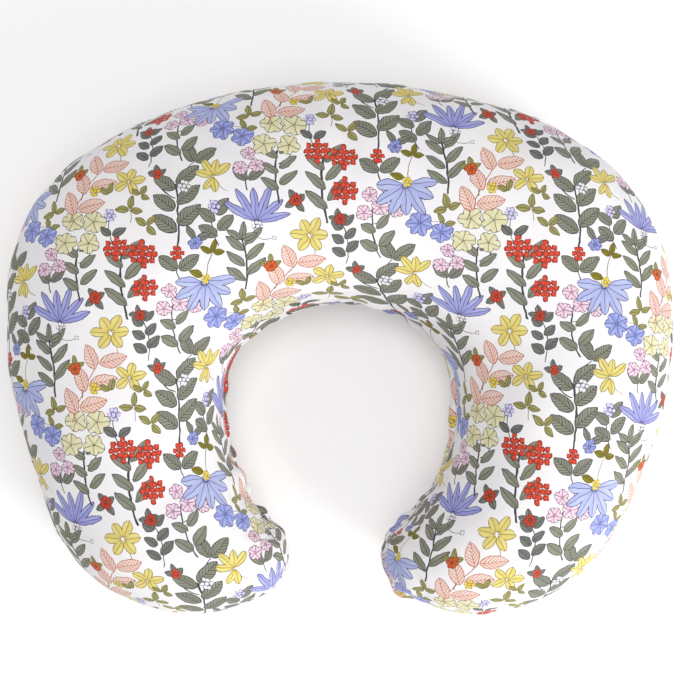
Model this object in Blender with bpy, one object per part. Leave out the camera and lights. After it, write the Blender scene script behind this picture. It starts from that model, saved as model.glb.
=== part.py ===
"""Nursing pillow: a C-shaped stuffed inner pillow in a zip-off slipcover.

The outline is two chains of tangent arcs, one for the outer edge and one for the waist edge.
Every layer (slipcover, zipper, casing, filling) is drawn on the same family of cross-sections,
each a chosen distance inside the slipcover's outer face.

Frame: +Z up, +X along the pillow's width, +Y towards its closed back, floor at z = 0, metres.
"""

import math

import bmesh
import bpy
import numpy as np
from mathutils import Vector

# ---- Outline from above, right half, from the middle of the back to the arm's tip ----------------
BACK_EDGE_Y = 0.2222  # outer edge at the middle of the back
WAIST_EDGE_Y = 0.0363  # waist edge at the middle of the back
OUTER_ARCS = (  # radius, clockwise turn in degrees
    (0.4250, 27.3),
    (0.1580, 60.7),
    (0.3850, 28.7),
    (0.1405, 50.0),
    (0.1290, 39.2),
    (0.0380, 64.1),
)
WAIST_ARCS = ((0.1107, 45.1), (0.0604, 40.9))  # the first two arcs of the waist edge
WAIST_CLOSING_TURNS = (51.1, -47.1)  # the last two; their radii follow from where the tip is

# ---- Cross-section -------------------------------------------------------------------------------
SEAM_HEIGHT = 0.066  # height of the perimeter seam over the floor
CROWN_RISE = 0.079  # top of the back over the seam
BELLY_DROP = 0.0715  # how far the underside would hang below the seam without the floor
FULL_HALF_WIDTH = 0.095  # half-width from which the section has its full thickness
SECTION_POWER = 2.2  # exponent of the superellipse

# ---- Layers --------------------------------------------------------------------------------------
COVER_THICKNESS = 0.0012
CASE_THICKNESS = 0.0008
TOUCH_GAP = 0.0003  # between pieces that touch
SEAM_GAP = TOUCH_GAP / 2  # from the seam plane to each panel's edge
CASE_SIDE_INSET = 0.0052  # the slipcover fits loosely at the rim, where the zipper lies
CASE_FACE_INSET = 0.0016
FILL_SIDE_INSET = 0.0080
FILL_FACE_INSET = 0.0028

# ---- Zipper, on the back's arc -------------------------------------------------------------------
ZIP_HALF_ANGLE = 24.3  # degrees either way from the middle of the back
ZIP_MOUTH = 0.0052  # from the seam plane to each folded edge of the slipcover
ZIP_END_BLEND = 0.003  # length over which the folded edges close at the zipper's ends
TAPE_INSET = 0.0017
TAPE_THICKNESS = 0.0005
TAPE_LOW = 0.0010  # from the seam plane to the tape's inner and outer edges
TAPE_HIGH = 0.0130
TAPE_TAIL_ANGLE = 1.2  # degrees of tape past the zipper's mouth
COIL_LOW = 0.0007
COIL_HIGH = 0.0023
COIL_FACE_INSET = 0.0002
COIL_THICKNESS = 0.0012
COIL_END_ANGLE = 23.6  # degrees either way
STOP_LENGTH = 0.0024
STOP_FACE_INSET = -0.0006

# ---- Slider and pull tab -------------------------------------------------------------------------
SLIDER_ANGLE = 22.7  # degrees from the middle of the back, where the slider is parked
SLIDER_LENGTH = 0.0110
SLIDER_WIDTH = 0.0084
SLIDER_PLATE = 0.0010
SLIDER_FACE_GAP = 0.0003  # from the cover's outer radius to the slider's outer plate
SLIDER_INNER_INSET = 0.0025
SLIDER_FLANGE = 0.0008
SLIDER_NECK = 0.0008
BRIDGE_LENGTH = 0.0074
BRIDGE_WIDTH = 0.0016
BRIDGE_LEG = 0.0012
BRIDGE_CLEARANCE = 0.0020
BRIDGE_BAR = 0.0009
TAB_LENGTH = 0.0240
TAB_WIDTH = 0.0062
TAB_THICKNESS = 0.0010
TAB_WINDOW_LENGTH = 0.0050
TAB_WINDOW_WIDTH = 0.0026
TAB_BAR = 0.0010
TAB_END_STEPS = 8

# ---- Threads and labels --------------------------------------------------------------------------
SEAM_THREAD_RADIUS = 0.00035
COVER_THREAD_INSET = 0.0024
CASE_THREAD_INSET = 0.0069
CLOSING_THREAD_INSET = 0.0045
TOPSTITCH_THREAD_RADIUS = 0.0002
TOPSTITCH_HEIGHT = 0.0080
TOPSTITCH_INSET = -0.0006
LABEL_THICKNESS = 0.0003
COVER_LABEL_INSET = 0.0024
CASE_LABEL_INSET = 0.0042
LABEL_STATION = 0.45  # the label hangs after this station
LABEL_SHARES = (0.2, 0.8)  # its ends, between that station and the next
LABEL_ANGLES = (2.0, 8.0, 22.5)  # its rows, in degrees round the section
CLOSING_HALF_ANGLE = 20.5  # the casing's stuffing opening, either side of the middle of the back

# ---- Mesh fineness -------------------------------------------------------------------------------
ZIP_STATIONS = 12
ARM_STATIONS = 18
ARM_CROWDING = 0.5  # how far the arm's stations crowd towards its tip, 0 to 1
STATION_MARGIN = 0.0005  # between two stations that must not fall together
SECTION_STEPS = 8
TAPE_ROW_RISE = 0.0140  # a row of every panel follows the tape's edge
ZIP_STRIP_STEPS = 24


# ==================================================================================================
# Outline
# ==================================================================================================
def outward(heading):
    """Unit vector to the left of a clockwise heading, which is out of the arc's centre."""
    return np.array([math.sin(heading), math.cos(heading)])


def arc_chain(start_y, arcs):
    """Arcs as (start point, start heading, radius, turn), laid end to end from the y axis."""
    point, heading, chain = np.array([0.0, start_y]), 0.0, []
    for radius, degrees in arcs:
        turn = math.radians(degrees)
        chain.append((point, heading, radius, turn))
        point = point + radius * (outward(heading + turn) - outward(heading))
        heading += turn
    return chain, point


def waist_arcs(tip):
    """The waist edge's arcs, the last two with the radii that bring it to the arm's tip."""
    first, joint = arc_chain(WAIST_EDGE_Y, WAIST_ARCS)
    heading = first[-1][1] + first[-1][3]
    turns = [math.radians(turn) for turn in WAIST_CLOSING_TURNS]
    steps = []
    for turn in turns:
        steps.append(outward(heading + turn) - outward(heading))
        heading += turn
    radii = np.linalg.solve(np.array(steps).T, tip - joint)
    return WAIST_ARCS + tuple(zip(radii, WAIST_CLOSING_TURNS))


OUTER_CHAIN, ARM_TIP = arc_chain(BACK_EDGE_Y, OUTER_ARCS)
WAIST_CHAIN, _ = arc_chain(WAIST_EDGE_Y, waist_arcs(ARM_TIP))


def chain_length(chain):
    """Total length of a chain of arcs."""
    return sum(abs(radius * turn) for _, _, radius, turn in chain)


def on_chain(chain, fraction, inset):
    """Point a fraction along a chain, moved by an inset against its outward normal."""
    left = fraction * chain_length(chain)
    for start, heading, radius, turn in chain:
        length = abs(radius * turn)
        if left <= length or start is chain[-1][0]:
            break
        left -= length
    angle = heading + turn * min(1.0, left / length)
    point = start + radius * (outward(angle) - outward(heading))
    return point - inset * outward(angle)


def edge_points(station, side_inset):
    """Outer and waist edge points of a station from -1 (left tip) over 0 (back) to 1 (right tip)."""
    outer = on_chain(OUTER_CHAIN, abs(station), side_inset)
    waist = on_chain(WAIST_CHAIN, abs(station), -side_inset)
    if station < 0:
        outer[0], waist[0] = -outer[0], -waist[0]
    return outer, waist


def zip_station(degrees):
    """Station of an angle on the back's arc."""
    return math.radians(degrees) * OUTER_ARCS[0][0] / chain_length(OUTER_CHAIN)


# ==================================================================================================
# Cross-sections
# ==================================================================================================
def fullness(half_width):
    """Share of the full thickness that a section of this half-width has."""
    narrow = min(half_width / FULL_HALF_WIDTH, 1.0)
    return 1.0 - (1.0 - narrow) ** 2


def surface_point(station, angle, side_inset, face_inset):
    """Point on a layer: angle 0 at the outer edge, 180 at the waist edge, positive over the seam."""
    outer, waist = edge_points(station, side_inset)
    middle, half = (outer + waist) / 2, (outer - waist) / 2
    half_width = float(np.linalg.norm(half))
    across = math.copysign(abs(math.cos(angle)) ** (2 / SECTION_POWER), math.cos(angle))
    rise = math.copysign(abs(math.sin(angle)) ** (2 / SECTION_POWER), math.sin(angle))
    reach = CROWN_RISE if rise > 0 else BELLY_DROP
    height = SEAM_HEIGHT + rise * fullness(half_width) * (reach - face_inset)
    plan = middle + across * half
    return Vector((plan[0], plan[1], max(height, face_inset)))


def angle_at_rise(rise, station, side_inset, face_inset, upwards):
    """Angle at which a layer stands a given distance over or under the seam plane."""
    outer, waist = edge_points(station, side_inset)
    half_width = float(np.linalg.norm(outer - waist)) / 2
    reach = (CROWN_RISE if upwards else BELLY_DROP) - face_inset
    share = min(rise / max(fullness(half_width) * reach, rise), 1.0)
    return math.asin(share ** (SECTION_POWER / 2))


def panel_stations():
    """Stations of a panel: even over the zipper, close where it ends, crowding towards the arm's tip."""
    mouth = zip_station(ZIP_HALF_ANGLE)
    blend = ZIP_END_BLEND / chain_length(OUTER_CHAIN)
    tail = zip_station(ZIP_HALF_ANGLE + TAPE_TAIL_ANGLE) + STATION_MARGIN
    zip_half = [mouth * step / (ZIP_STATIONS // 2) for step in range(1, ZIP_STATIONS // 2 + 1)]
    arm = []
    for step in range(ARM_STATIONS + 1):
        share = step / ARM_STATIONS
        crowded = (1 - ARM_CROWDING) * share + ARM_CROWDING * math.sin(math.pi / 2 * share)
        arm.append(tail + (1.0 - tail) * crowded)
    right = zip_half + [mouth + blend] + arm
    return [-value for value in reversed(right)] + [0.0] + right


# ==================================================================================================
# Mesh helpers
# ==================================================================================================
def material(name, colour, roughness, metallic=0.0):
    """Principled material in one colour."""
    made = bpy.data.materials.new(name)
    made.use_nodes = True
    shader = made.node_tree.nodes["Principled BSDF"]
    shader.inputs["Base Color"].default_value = (*colour, 1.0)
    shader.inputs["Roughness"].default_value = roughness
    shader.inputs["Metallic"].default_value = metallic
    made.diffuse_color = (*colour, 1.0)
    return made


def add_object(name, bm, finish, origin=Vector((0, 0, 0))):
    """Close off a bmesh as an object whose origin is where its joint is."""
    bmesh.ops.translate(bm, verts=bm.verts, vec=-origin)
    mesh = bpy.data.meshes.new(name)
    bm.to_mesh(mesh)
    bm.free()
    made = bpy.data.objects.new(name, mesh)
    made.location = origin
    mesh.materials.append(finish)
    bpy.context.scene.collection.objects.link(made)
    return made


def grid_faces(bm, rows, wrap=False):
    """Quads between neighbouring rows of vertices; a repeated vertex makes a triangle."""
    for row, following in zip(rows, rows[1:]):
        count = len(row)
        for i in range(count if wrap else count - 1):
            j = (i + 1) % count
            corners = list(dict.fromkeys((row[i], following[i], following[j], row[j])))
            if len(corners) > 2:
                bm.faces.new(corners)


def section_row(bm, points):
    """Vertices of a section, or one shared vertex where the section has closed to a point."""
    spans = [(points[0] - points[i]).length for i in (-1, len(points) // 2)]
    if max(spans) < TOUCH_GAP:
        return [bm.verts.new(points[0])] * len(points)
    return [bm.verts.new(point) for point in points]


def facing_out(bm):
    """Turn all faces the same way, outwards on a closed body."""
    bmesh.ops.recalc_face_normals(bm, faces=bm.faces)
    return bm


# ==================================================================================================
# Slipcover, casing and filling
# ==================================================================================================
def section_angles(start, station, side_inset, face_inset, upwards):
    """Angles of a half section: its edge, a row along the zipper tape, then even steps to the waist."""
    tape_row = angle_at_rise(TAPE_ROW_RISE, station, side_inset, face_inset, upwards)
    tape_row = min(tape_row, math.pi / SECTION_STEPS / 2)
    even = [math.pi * step / SECTION_STEPS for step in range(1, SECTION_STEPS + 1)]
    return [start, max(tape_row, start)] + even


def panel_rows(bm, upwards, side_inset, face_inset, with_mouth):
    """Rows of vertices over one face of a panel, from tip to tip."""
    side = 1 if upwards else -1
    mouth = zip_station(ZIP_HALF_ANGLE)
    rows = []
    for station in panel_stations():
        opens = with_mouth and abs(station) <= mouth
        start = angle_at_rise(ZIP_MOUTH, station, side_inset, face_inset, upwards) if opens else 0.0
        angles = section_angles(start, station, side_inset, face_inset, upwards)
        points = [surface_point(station, side * angle, side_inset, face_inset) for angle in angles]
        for point in points:
            point.z = max(point.z + side * SEAM_GAP, face_inset)
        rows.append(section_row(bm, points))
    return rows


def panel(name, upwards, side_inset, face_inset, thickness, finish, with_mouth=False):
    """Upper or lower panel of a layer: its outer face, its inner face and the edge between them."""
    bm = bmesh.new()
    outer = panel_rows(bm, upwards, side_inset, face_inset, with_mouth)
    inner = panel_rows(bm, upwards, side_inset + thickness, face_inset + thickness, with_mouth)
    grid_faces(bm, outer)
    grid_faces(bm, inner)
    for end in (0, -1):
        grid_faces(bm, [[row[end] for row in outer], [row[end] for row in inner]])
    made = add_object(name, facing_out(bm), finish)
    made.data.shade_smooth()
    return made


def filling(name, finish):
    """The fibre filling: one closed body inside the casing."""
    bm = bmesh.new()
    rows = []
    for station in panel_stations():
        angles = section_angles(0.0, station, FILL_SIDE_INSET, FILL_FACE_INSET, True)
        ring = angles + [-angle for angle in reversed(angles[1:-1])]
        points = [surface_point(station, angle, FILL_SIDE_INSET, FILL_FACE_INSET) for angle in ring]
        rows.append(section_row(bm, points))
    grid_faces(bm, rows, wrap=True)
    made = add_object(name, facing_out(bm), finish)
    made.data.shade_smooth()
    return made


# ==================================================================================================
# Threads and labels
# ==================================================================================================
def tube(name, path, radius, finish):
    """Square-section thread along a path of points, closed at both ends."""
    bm = bmesh.new()
    rows = []
    for i, point in enumerate(path):
        ahead = (path[min(i + 1, len(path) - 1)] - path[max(i - 1, 0)]).normalized()
        sideways = ahead.cross(Vector((0, 0, 1))).normalized()
        upright = sideways.cross(ahead)
        rows.append([bm.verts.new(point + radius * offset)
                     for offset in (sideways, upright, -sideways, -upright)])
    grid_faces(bm, rows, wrap=True)
    bm.faces.new(rows[0])
    bm.faces.new(rows[-1])
    return add_object(name, facing_out(bm), finish)


def rim_point(station, side_inset, on_waist=False):
    """Point in the seam plane, a side inset inside the outer or the waist edge."""
    edge = edge_points(station, side_inset)[1 if on_waist else 0]
    return Vector((edge[0], edge[1], SEAM_HEIGHT))


def seam_path(side_inset, first_station):
    """From one station round the right arm, the waist and the left arm to its mirror station."""
    right = [value for value in panel_stations() if value >= first_station]
    left = [-value for value in reversed(right)]
    waist = [value for value in reversed(panel_stations()) if abs(value) < 1.0]
    path = [rim_point(value, side_inset) for value in right]
    path += [rim_point(value, side_inset, True) for value in waist]
    return path + [rim_point(value, side_inset) for value in left]


def label(name, side, side_inset, finish):
    """Blank woven label under the seam, between two neighbouring stations of one side."""
    stations = panel_stations()
    first = next(value for value in stations if value > LABEL_STATION)
    following = stations[stations.index(first) + 1]
    layers = []
    bm = bmesh.new()
    for inset in (side_inset, side_inset + LABEL_THICKNESS):
        rows = []
        for degrees in LABEL_ANGLES:
            ends = [surface_point(side * value, -math.radians(degrees), inset, CASE_FACE_INSET / 2)
                    for value in (first, following)]
            rows.append([bm.verts.new(ends[0].lerp(ends[1], share)) for share in LABEL_SHARES])
        layers.append(rows)
    outer, inner = layers
    rings = [upper + list(reversed(lower)) for upper, lower in zip(outer, inner)]
    grid_faces(bm, rings, wrap=True)
    bm.faces.new(rings[0])
    bm.faces.new(rings[-1])
    return add_object(name, facing_out(bm), finish)


# ==================================================================================================
# Zipper
# ==================================================================================================
BACK_RADIUS = OUTER_ARCS[0][0]
BACK_CENTRE = Vector((0.0, BACK_EDGE_Y - BACK_RADIUS, SEAM_HEIGHT))


def on_back_arc(degrees, inset, rise):
    """Point at an angle on the back's arc, an inset inside the cover's outer face."""
    angle = math.radians(degrees)
    reach = BACK_RADIUS - inset
    return BACK_CENTRE + Vector((reach * math.sin(angle), reach * math.cos(angle), rise))


def arc_strip(name, low_degrees, high_degrees, section, finish):
    """Strip of constant section along the back's arc; the section lists (inset, rise) corners."""
    bm = bmesh.new()
    rings = []
    for step in range(ZIP_STRIP_STEPS + 1):
        degrees = low_degrees + (high_degrees - low_degrees) * step / ZIP_STRIP_STEPS
        rings.append([bm.verts.new(on_back_arc(degrees, inset, rise)) for inset, rise in section])
    grid_faces(bm, rings, wrap=True)
    bm.faces.new(rings[0])
    bm.faces.new(rings[-1])
    return add_object(name, facing_out(bm), finish)


def lean(rise, upwards):
    """How far the cover's outer face stands inside the rim's arc, a given distance from the seam."""
    angle = angle_at_rise(rise, 0.0, 0.0, 0.0, upwards)
    outer, _ = edge_points(0.0, 0.0)
    return outer[1] - surface_point(0.0, angle if upwards else -angle, 0.0, 0.0).y


def tape(name, upwards, finish):
    """One half of the zipper's tape, leaning with the cover's inner face."""
    side = 1 if upwards else -1
    reach = ZIP_HALF_ANGLE + TAPE_TAIL_ANGLE
    rises = (TAPE_LOW, ZIP_MOUTH, TAPE_HIGH)
    outer = [(TAPE_INSET + lean(rise, upwards), side * rise) for rise in rises]
    inner = [(inset + TAPE_THICKNESS, rise) for inset, rise in reversed(outer)]
    return arc_strip(name, -reach, reach, outer + inner, finish)


def coil(name, upwards, finish):
    """One row of the nylon coil, as a plain strip that leaves the slider's neck room to pass."""
    side = 1 if upwards else -1
    low, high = side * COIL_LOW, side * COIL_HIGH
    deep = COIL_FACE_INSET + COIL_THICKNESS
    section = [(COIL_FACE_INSET, low), (COIL_FACE_INSET, high), (deep, high), (deep, low)]
    return arc_strip(name, -COIL_END_ANGLE, COIL_END_ANGLE, section, finish)


def stop(name, low_degrees, low, high, finish):
    """Stop crimped over the end of the coil: it stands on the tape and is proud of the coil."""
    foot = TAPE_INSET - TOUCH_GAP
    section = [(STOP_FACE_INSET, low), (STOP_FACE_INSET, high), (foot, high), (foot, low)]
    turn = math.degrees(STOP_LENGTH / BACK_RADIUS)
    bm = bmesh.new()
    rings = []
    for degrees in (low_degrees, low_degrees + turn):
        rings.append([bm.verts.new(on_back_arc(degrees, inset, rise)) for inset, rise in section])
    grid_faces(bm, rings, wrap=True)
    bm.faces.new(rings[0])
    bm.faces.new(rings[1])
    return add_object(name, facing_out(bm), finish)


def topstitch(name, upwards, finish):
    """Line of stitching that holds a folded cover edge to the tape."""
    side = 1 if upwards else -1
    inset = TOPSTITCH_INSET + lean(TOPSTITCH_HEIGHT, upwards)
    angles = [station / zip_station(1.0) for station in panel_stations()
              if abs(station) <= zip_station(ZIP_HALF_ANGLE)]
    path = [on_back_arc(degrees, inset, side * TOPSTITCH_HEIGHT) for degrees in angles]
    return tube(name, path, TOPSTITCH_THREAD_RADIUS, finish)


# ==================================================================================================
# Slider and pull tab, in the slider's own frame: x along the zipper, y outwards, z up
# ==================================================================================================
def extruded(name, outline, low, high, axis, finish):
    """Closed body from an outline, drawn in the two axes other than the one it is extruded along."""
    bm = bmesh.new()
    ends = []
    for level in (low, high):
        corners = []
        for first, second in outline:
            place = [first, second]
            place.insert(axis, level)
            corners.append(bm.verts.new(place))
        ends.append(corners)
    grid_faces(bm, ends, wrap=True)
    bm.faces.new(ends[0])
    bm.faces.new(ends[1])
    return add_object(name, facing_out(bm), finish)


def slider_section():
    """Outline in (outwards, up): flanged outer plate, neck between the coil rows, inner plate."""
    half, neck = SLIDER_WIDTH / 2, SLIDER_NECK / 2
    top_low, top_high = SLIDER_FACE_GAP, SLIDER_FACE_GAP + SLIDER_PLATE
    flange_low = -COIL_FACE_INSET - COIL_THICKNESS + TOUCH_GAP
    inner_high = -SLIDER_INNER_INSET
    inner_low = inner_high - SLIDER_PLATE
    lip = half - SLIDER_FLANGE
    upper = [
        (inner_low, half),
        (inner_high, half),
        (inner_high, neck),
        (top_low, neck),
        (top_low, lip),
        (flange_low, lip),
        (flange_low, half),
        (top_high, half),
    ]
    return upper + [(outwards, -rise) for outwards, rise in reversed(upper)]


def bridge_outline():
    """Outline in (along, outwards) of the arch that carries the pull tab."""
    half, leg = BRIDGE_LENGTH / 2, BRIDGE_LEG
    foot = SLIDER_FACE_GAP + SLIDER_PLATE / 2
    under = SLIDER_FACE_GAP + SLIDER_PLATE + BRIDGE_CLEARANCE
    over = under + BRIDGE_BAR
    return [
        (-half, foot),
        (-half + leg, foot),
        (-half + leg, under),
        (half - leg, under),
        (half - leg, foot),
        (half, foot),
        (half, over - BRIDGE_BAR / 2),
        (half - leg, over),
        (-half + leg, over),
        (-half, over - BRIDGE_BAR / 2),
    ]


def slider(name, pivot, finish):
    """Slider body: the flanged plates with the bridge joined on."""
    half = SLIDER_LENGTH / 2
    body = extruded(name, slider_section(), -half, half, 0, finish)
    bridge = extruded("bridge_guide", bridge_outline(), -BRIDGE_WIDTH / 2, BRIDGE_WIDTH / 2, 2, finish)
    bridge.hide_render = True
    bridge.display_type = "WIRE"
    joined = body.modifiers.new("bridge", "BOOLEAN")
    joined.operation = "UNION"
    joined.solver = "EXACT"
    joined.object = bridge
    for piece in (body, bridge):
        piece.parent = pivot
        piece.location = (0.0, BACK_RADIUS, 0.0)
    return body


def pull_tab(name, carrier, finish):
    """Pull tab whose end bar lies under the bridge, origin on the bar's middle line."""
    bar, half = TAB_BAR / 2, TAB_WIDTH / 2
    window = TAB_WINDOW_WIDTH / 2
    far = bar + TAB_WINDOW_LENGTH
    bm = bmesh.new()
    round_end = [(-TAB_LENGTH + half - half * math.sin(turn), half * math.cos(turn))
                 for turn in (math.pi * step / TAB_END_STEPS for step in range(TAB_END_STEPS + 1))]
    outline = [(bar, half)] + round_end + [(bar, -half)]
    hole = [(-bar, window), (-bar, -window), (-far, -window), (-far, window)]
    rings = {}
    for level in (-TAB_THICKNESS / 2, TAB_THICKNESS / 2):
        rings[level], edges = [], []
        for corners in (outline, hole):
            ring = [bm.verts.new((along, level, rise)) for along, rise in corners]
            edges += [bm.edges.new((a, b)) for a, b in zip(ring, ring[1:] + ring[:1])]
            rings[level].append(ring)
        bmesh.ops.triangle_fill(bm, edges=edges, use_beauty=True)
    low, high = rings.values()
    for ring, opposite in zip(low, high):
        grid_faces(bm, [ring, opposite], wrap=True)
    made = add_object(name, facing_out(bm), finish)
    made.parent = carrier
    made.location = (0.0, SLIDER_FACE_GAP + SLIDER_PLATE + BRIDGE_CLEARANCE / 2, 0.0)
    return made


# ==================================================================================================
# Assembly
# ==================================================================================================
def build():
    """Make every sub-part."""
    for leftover in list(bpy.data.objects):
        bpy.data.objects.remove(leftover, do_unlink=True)

    print_cotton = material("printed_cotton", (0.86, 0.85, 0.88), 0.9)
    under_cotton = material("printed_cotton_underside", (0.80, 0.80, 0.83), 0.9)
    casing_cotton = material("casing_cotton", (0.83, 0.82, 0.80), 0.9)
    casing_lower_cotton = material("casing_cotton_underside", (0.78, 0.77, 0.75), 0.9)
    fibre = material("polyester_fibre", (0.90, 0.90, 0.90), 0.95)
    thread = material("white_thread", (0.85, 0.85, 0.85), 0.7)
    tape_weave = material("zipper_tape", (0.82, 0.82, 0.84), 0.85)
    nylon = material("zipper_coil_nylon", (0.86, 0.86, 0.86), 0.35)
    enamel = material("slider_enamel", (0.83, 0.83, 0.83), 0.3, 0.2)
    stop_metal = material("stop_metal", (0.70, 0.70, 0.70), 0.35, 0.9)
    satin = material("label_satin", (0.88, 0.88, 0.86), 0.5)

    panel("cover_top", True, 0.0, 0.0, COVER_THICKNESS, print_cotton, with_mouth=True)
    panel("cover_bottom", False, 0.0, 0.0, COVER_THICKNESS, under_cotton, with_mouth=True)
    panel("case_top", True, CASE_SIDE_INSET, CASE_FACE_INSET, CASE_THICKNESS, casing_cotton)
    panel("case_bottom", False, CASE_SIDE_INSET, CASE_FACE_INSET, CASE_THICKNESS, casing_lower_cotton)
    filling("fibre_fill", fibre)

    tail = zip_station(ZIP_HALF_ANGLE + TAPE_TAIL_ANGLE)
    cover_seam = seam_path(COVER_THREAD_INSET, tail + STATION_MARGIN)
    tube("cover_seam_stitch", cover_seam, SEAM_THREAD_RADIUS, thread)
    closing_end = zip_station(CLOSING_HALF_ANGLE)
    tube("case_seam_stitch", seam_path(CASE_THREAD_INSET, closing_end), SEAM_THREAD_RADIUS, thread)
    closing = [rim_point(value, CLOSING_THREAD_INSET) for value in panel_stations()
               if abs(value) < closing_end]
    tube("case_closing_stitch", closing, SEAM_THREAD_RADIUS, thread)
    label("cover_care_label", -1, COVER_LABEL_INSET, satin)
    label("case_label", 1, CASE_LABEL_INSET, satin)

    for word, upwards in (("upper", True), ("lower", False)):
        tape("zipper_tape_" + word, upwards, tape_weave)
        coil("zipper_coil_" + word, upwards, nylon)
        topstitch("zipper_stitch_" + word, upwards, thread)
    low, high = COIL_LOW, COIL_HIGH + TOUCH_GAP
    gap = math.degrees(TOUCH_GAP / BACK_RADIUS)
    turn = math.degrees(STOP_LENGTH / BACK_RADIUS)
    stop("zipper_top_stop_upper", COIL_END_ANGLE + gap, low, high, stop_metal)
    stop("zipper_top_stop_lower", COIL_END_ANGLE + gap, -high, -low, stop_metal)
    stop("zipper_bottom_stop", -COIL_END_ANGLE - gap - turn, -high, high, stop_metal)

    travel_pivot = bpy.data.objects.new("zipper_travel_pivot", None)
    travel_pivot.location = BACK_CENTRE
    travel_pivot.rotation_euler.z = -math.radians(SLIDER_ANGLE)
    bpy.context.scene.collection.objects.link(travel_pivot)
    body = slider("zipper_slider", travel_pivot, enamel)
    pull_tab("zipper_pull_tab", body, enamel)


build()
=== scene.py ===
"""Nursing pillow: the finished look of the C-shaped pillow, its printed slipcover and its zipper.

The cushion's form is drawn once, on cross-sections between an outer edge and a waist edge, and the
slipcover, casing, filling, labels and zipper are all laid on that form. Lengths are in metres, the
print's own lengths in millimetres of flat cloth.
"""

from __future__ import annotations

import logging
import math
from collections.abc import Callable, Iterable, Iterator
from contextlib import contextmanager
from dataclasses import dataclass
from enum import Enum

import bmesh
import bpy
import numpy as np
from mathutils import Matrix, Vector


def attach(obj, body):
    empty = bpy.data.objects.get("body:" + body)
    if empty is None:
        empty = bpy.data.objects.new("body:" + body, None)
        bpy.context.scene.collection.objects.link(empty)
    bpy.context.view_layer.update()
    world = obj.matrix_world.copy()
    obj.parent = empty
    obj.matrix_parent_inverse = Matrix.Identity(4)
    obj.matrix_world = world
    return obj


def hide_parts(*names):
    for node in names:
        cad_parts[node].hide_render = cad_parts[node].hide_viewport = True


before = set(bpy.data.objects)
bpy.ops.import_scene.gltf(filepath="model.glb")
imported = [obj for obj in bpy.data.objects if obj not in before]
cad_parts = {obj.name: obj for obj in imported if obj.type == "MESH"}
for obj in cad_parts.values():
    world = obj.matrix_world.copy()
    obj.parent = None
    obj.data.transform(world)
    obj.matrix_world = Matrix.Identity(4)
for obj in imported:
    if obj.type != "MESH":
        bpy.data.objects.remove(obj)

log = logging.getLogger("nursing_pillow")

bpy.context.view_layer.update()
MILLIMETRES = 1000.0
WELD = 1e-6
FLAT_UV = "flat_cut"

Triple = tuple[float, float, float]
Colour = Triple
Shape = tuple[np.ndarray, list[tuple[int, ...]]]
Number = object
Array, Tree = np.ndarray, bpy.types.NodeTree
Piece, Material = bpy.types.Object, bpy.types.Material


def linear(red: int, green: int, blue: int) -> Colour:
    """Linear colour of an sRGB one given as 0 to 255."""
    shares = [value / 255 for value in (red, green, blue)]
    return tuple(s / 12.92 if s <= 0.04045 else ((s + 0.055) / 1.055) ** 2.4 for s in shares)


# ---- Form of the cushion ----
@dataclass(frozen=True)
class Arc:
    """An arc of an edge seen from above.

    Args:
        radius: its radius; below zero where the edge turns the other way.
        turn: its clockwise turn in degrees.
    """

    radius: float
    turn: float


@dataclass(frozen=True)
class Edge:
    """Tangent arcs laid end to end from the middle of the back, drawn for the right half.

    Args:
        start_y: where the edge crosses the y axis.
        arcs: its arcs in order.
    """

    start_y: float
    arcs: tuple[Arc, ...]

    @staticmethod
    def outward(heading: Array) -> Array:
        """Unit vectors to the left of clockwise headings."""
        return np.stack([np.sin(heading), np.cos(heading)], axis=-1)

    def knots(self) -> tuple[Array, Array, Array]:
        """Start points, start headings and lengths of the arcs, with the end point and heading last.

        Returns:
            The points, the headings and the running lengths.
        """
        points, headings, lengths = [np.array([0.0, self.start_y])], [0.0], [0.0]
        for arc in self.arcs:
            turn = math.radians(arc.turn)
            step = self.outward(np.array(headings[-1] + turn)) - self.outward(np.array(headings[-1]))
            points.append(points[-1] + arc.radius * step)
            headings.append(headings[-1] + turn)
            lengths.append(lengths[-1] + abs(arc.radius * turn))
        return np.array(points), np.array(headings), np.array(lengths)

    def tip(self) -> Array:
        """The edge's last point."""
        return self.knots()[0][-1]

    def length(self) -> float:
        """Length of half the edge."""
        return float(self.knots()[2][-1])

    def at(self, shares: Array, inset: float) -> Array:
        """Points at shares of the length, moved against the outward normal.

        Args:
            shares: from 0 at the back to 1 at the arm's tip.
            inset: distance to move inwards.

        Returns:
            Points with the shape of shares and a last axis of two.
        """
        points, headings, lengths = self.knots()
        run = np.clip(shares, 0.0, 1.0) * lengths[-1]
        which = np.clip(np.searchsorted(lengths, run, side="right") - 1, 0, len(self.arcs) - 1)
        radius = np.array([arc.radius for arc in self.arcs])[which]
        turn = np.radians([arc.turn for arc in self.arcs])[which]
        part = (run - lengths[which]) / (lengths[which + 1] - lengths[which])
        angle = headings[which] + turn * part
        moved = self.outward(angle) - self.outward(headings[which])
        return points[which] + radius[..., None] * moved - inset * self.outward(angle)


def waist_edge(start_y: float, first: tuple[Arc, ...], closing_turns: tuple[float, float],
               tip: Array) -> Edge:
    """Waist edge whose last two radii bring it to the arm's tip.

    Args:
        start_y: where it crosses the y axis.
        first: its first arcs.
        closing_turns: the turns of the last two arcs, in degrees.
        tip: the outer edge's last point.

    Returns:
        The whole edge.
    """
    points, headings, _ = Edge(start_y, first).knots()
    heading, steps = headings[-1], []
    for degrees in closing_turns:
        turn = math.radians(degrees)
        steps.append(Edge.outward(np.array(heading + turn)) - Edge.outward(np.array(heading)))
        heading += turn
    radii = np.linalg.solve(np.array(steps).T, tip - points[-1])
    return Edge(start_y, first + tuple(Arc(float(r), t) for r, t in zip(radii, closing_turns)))


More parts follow.
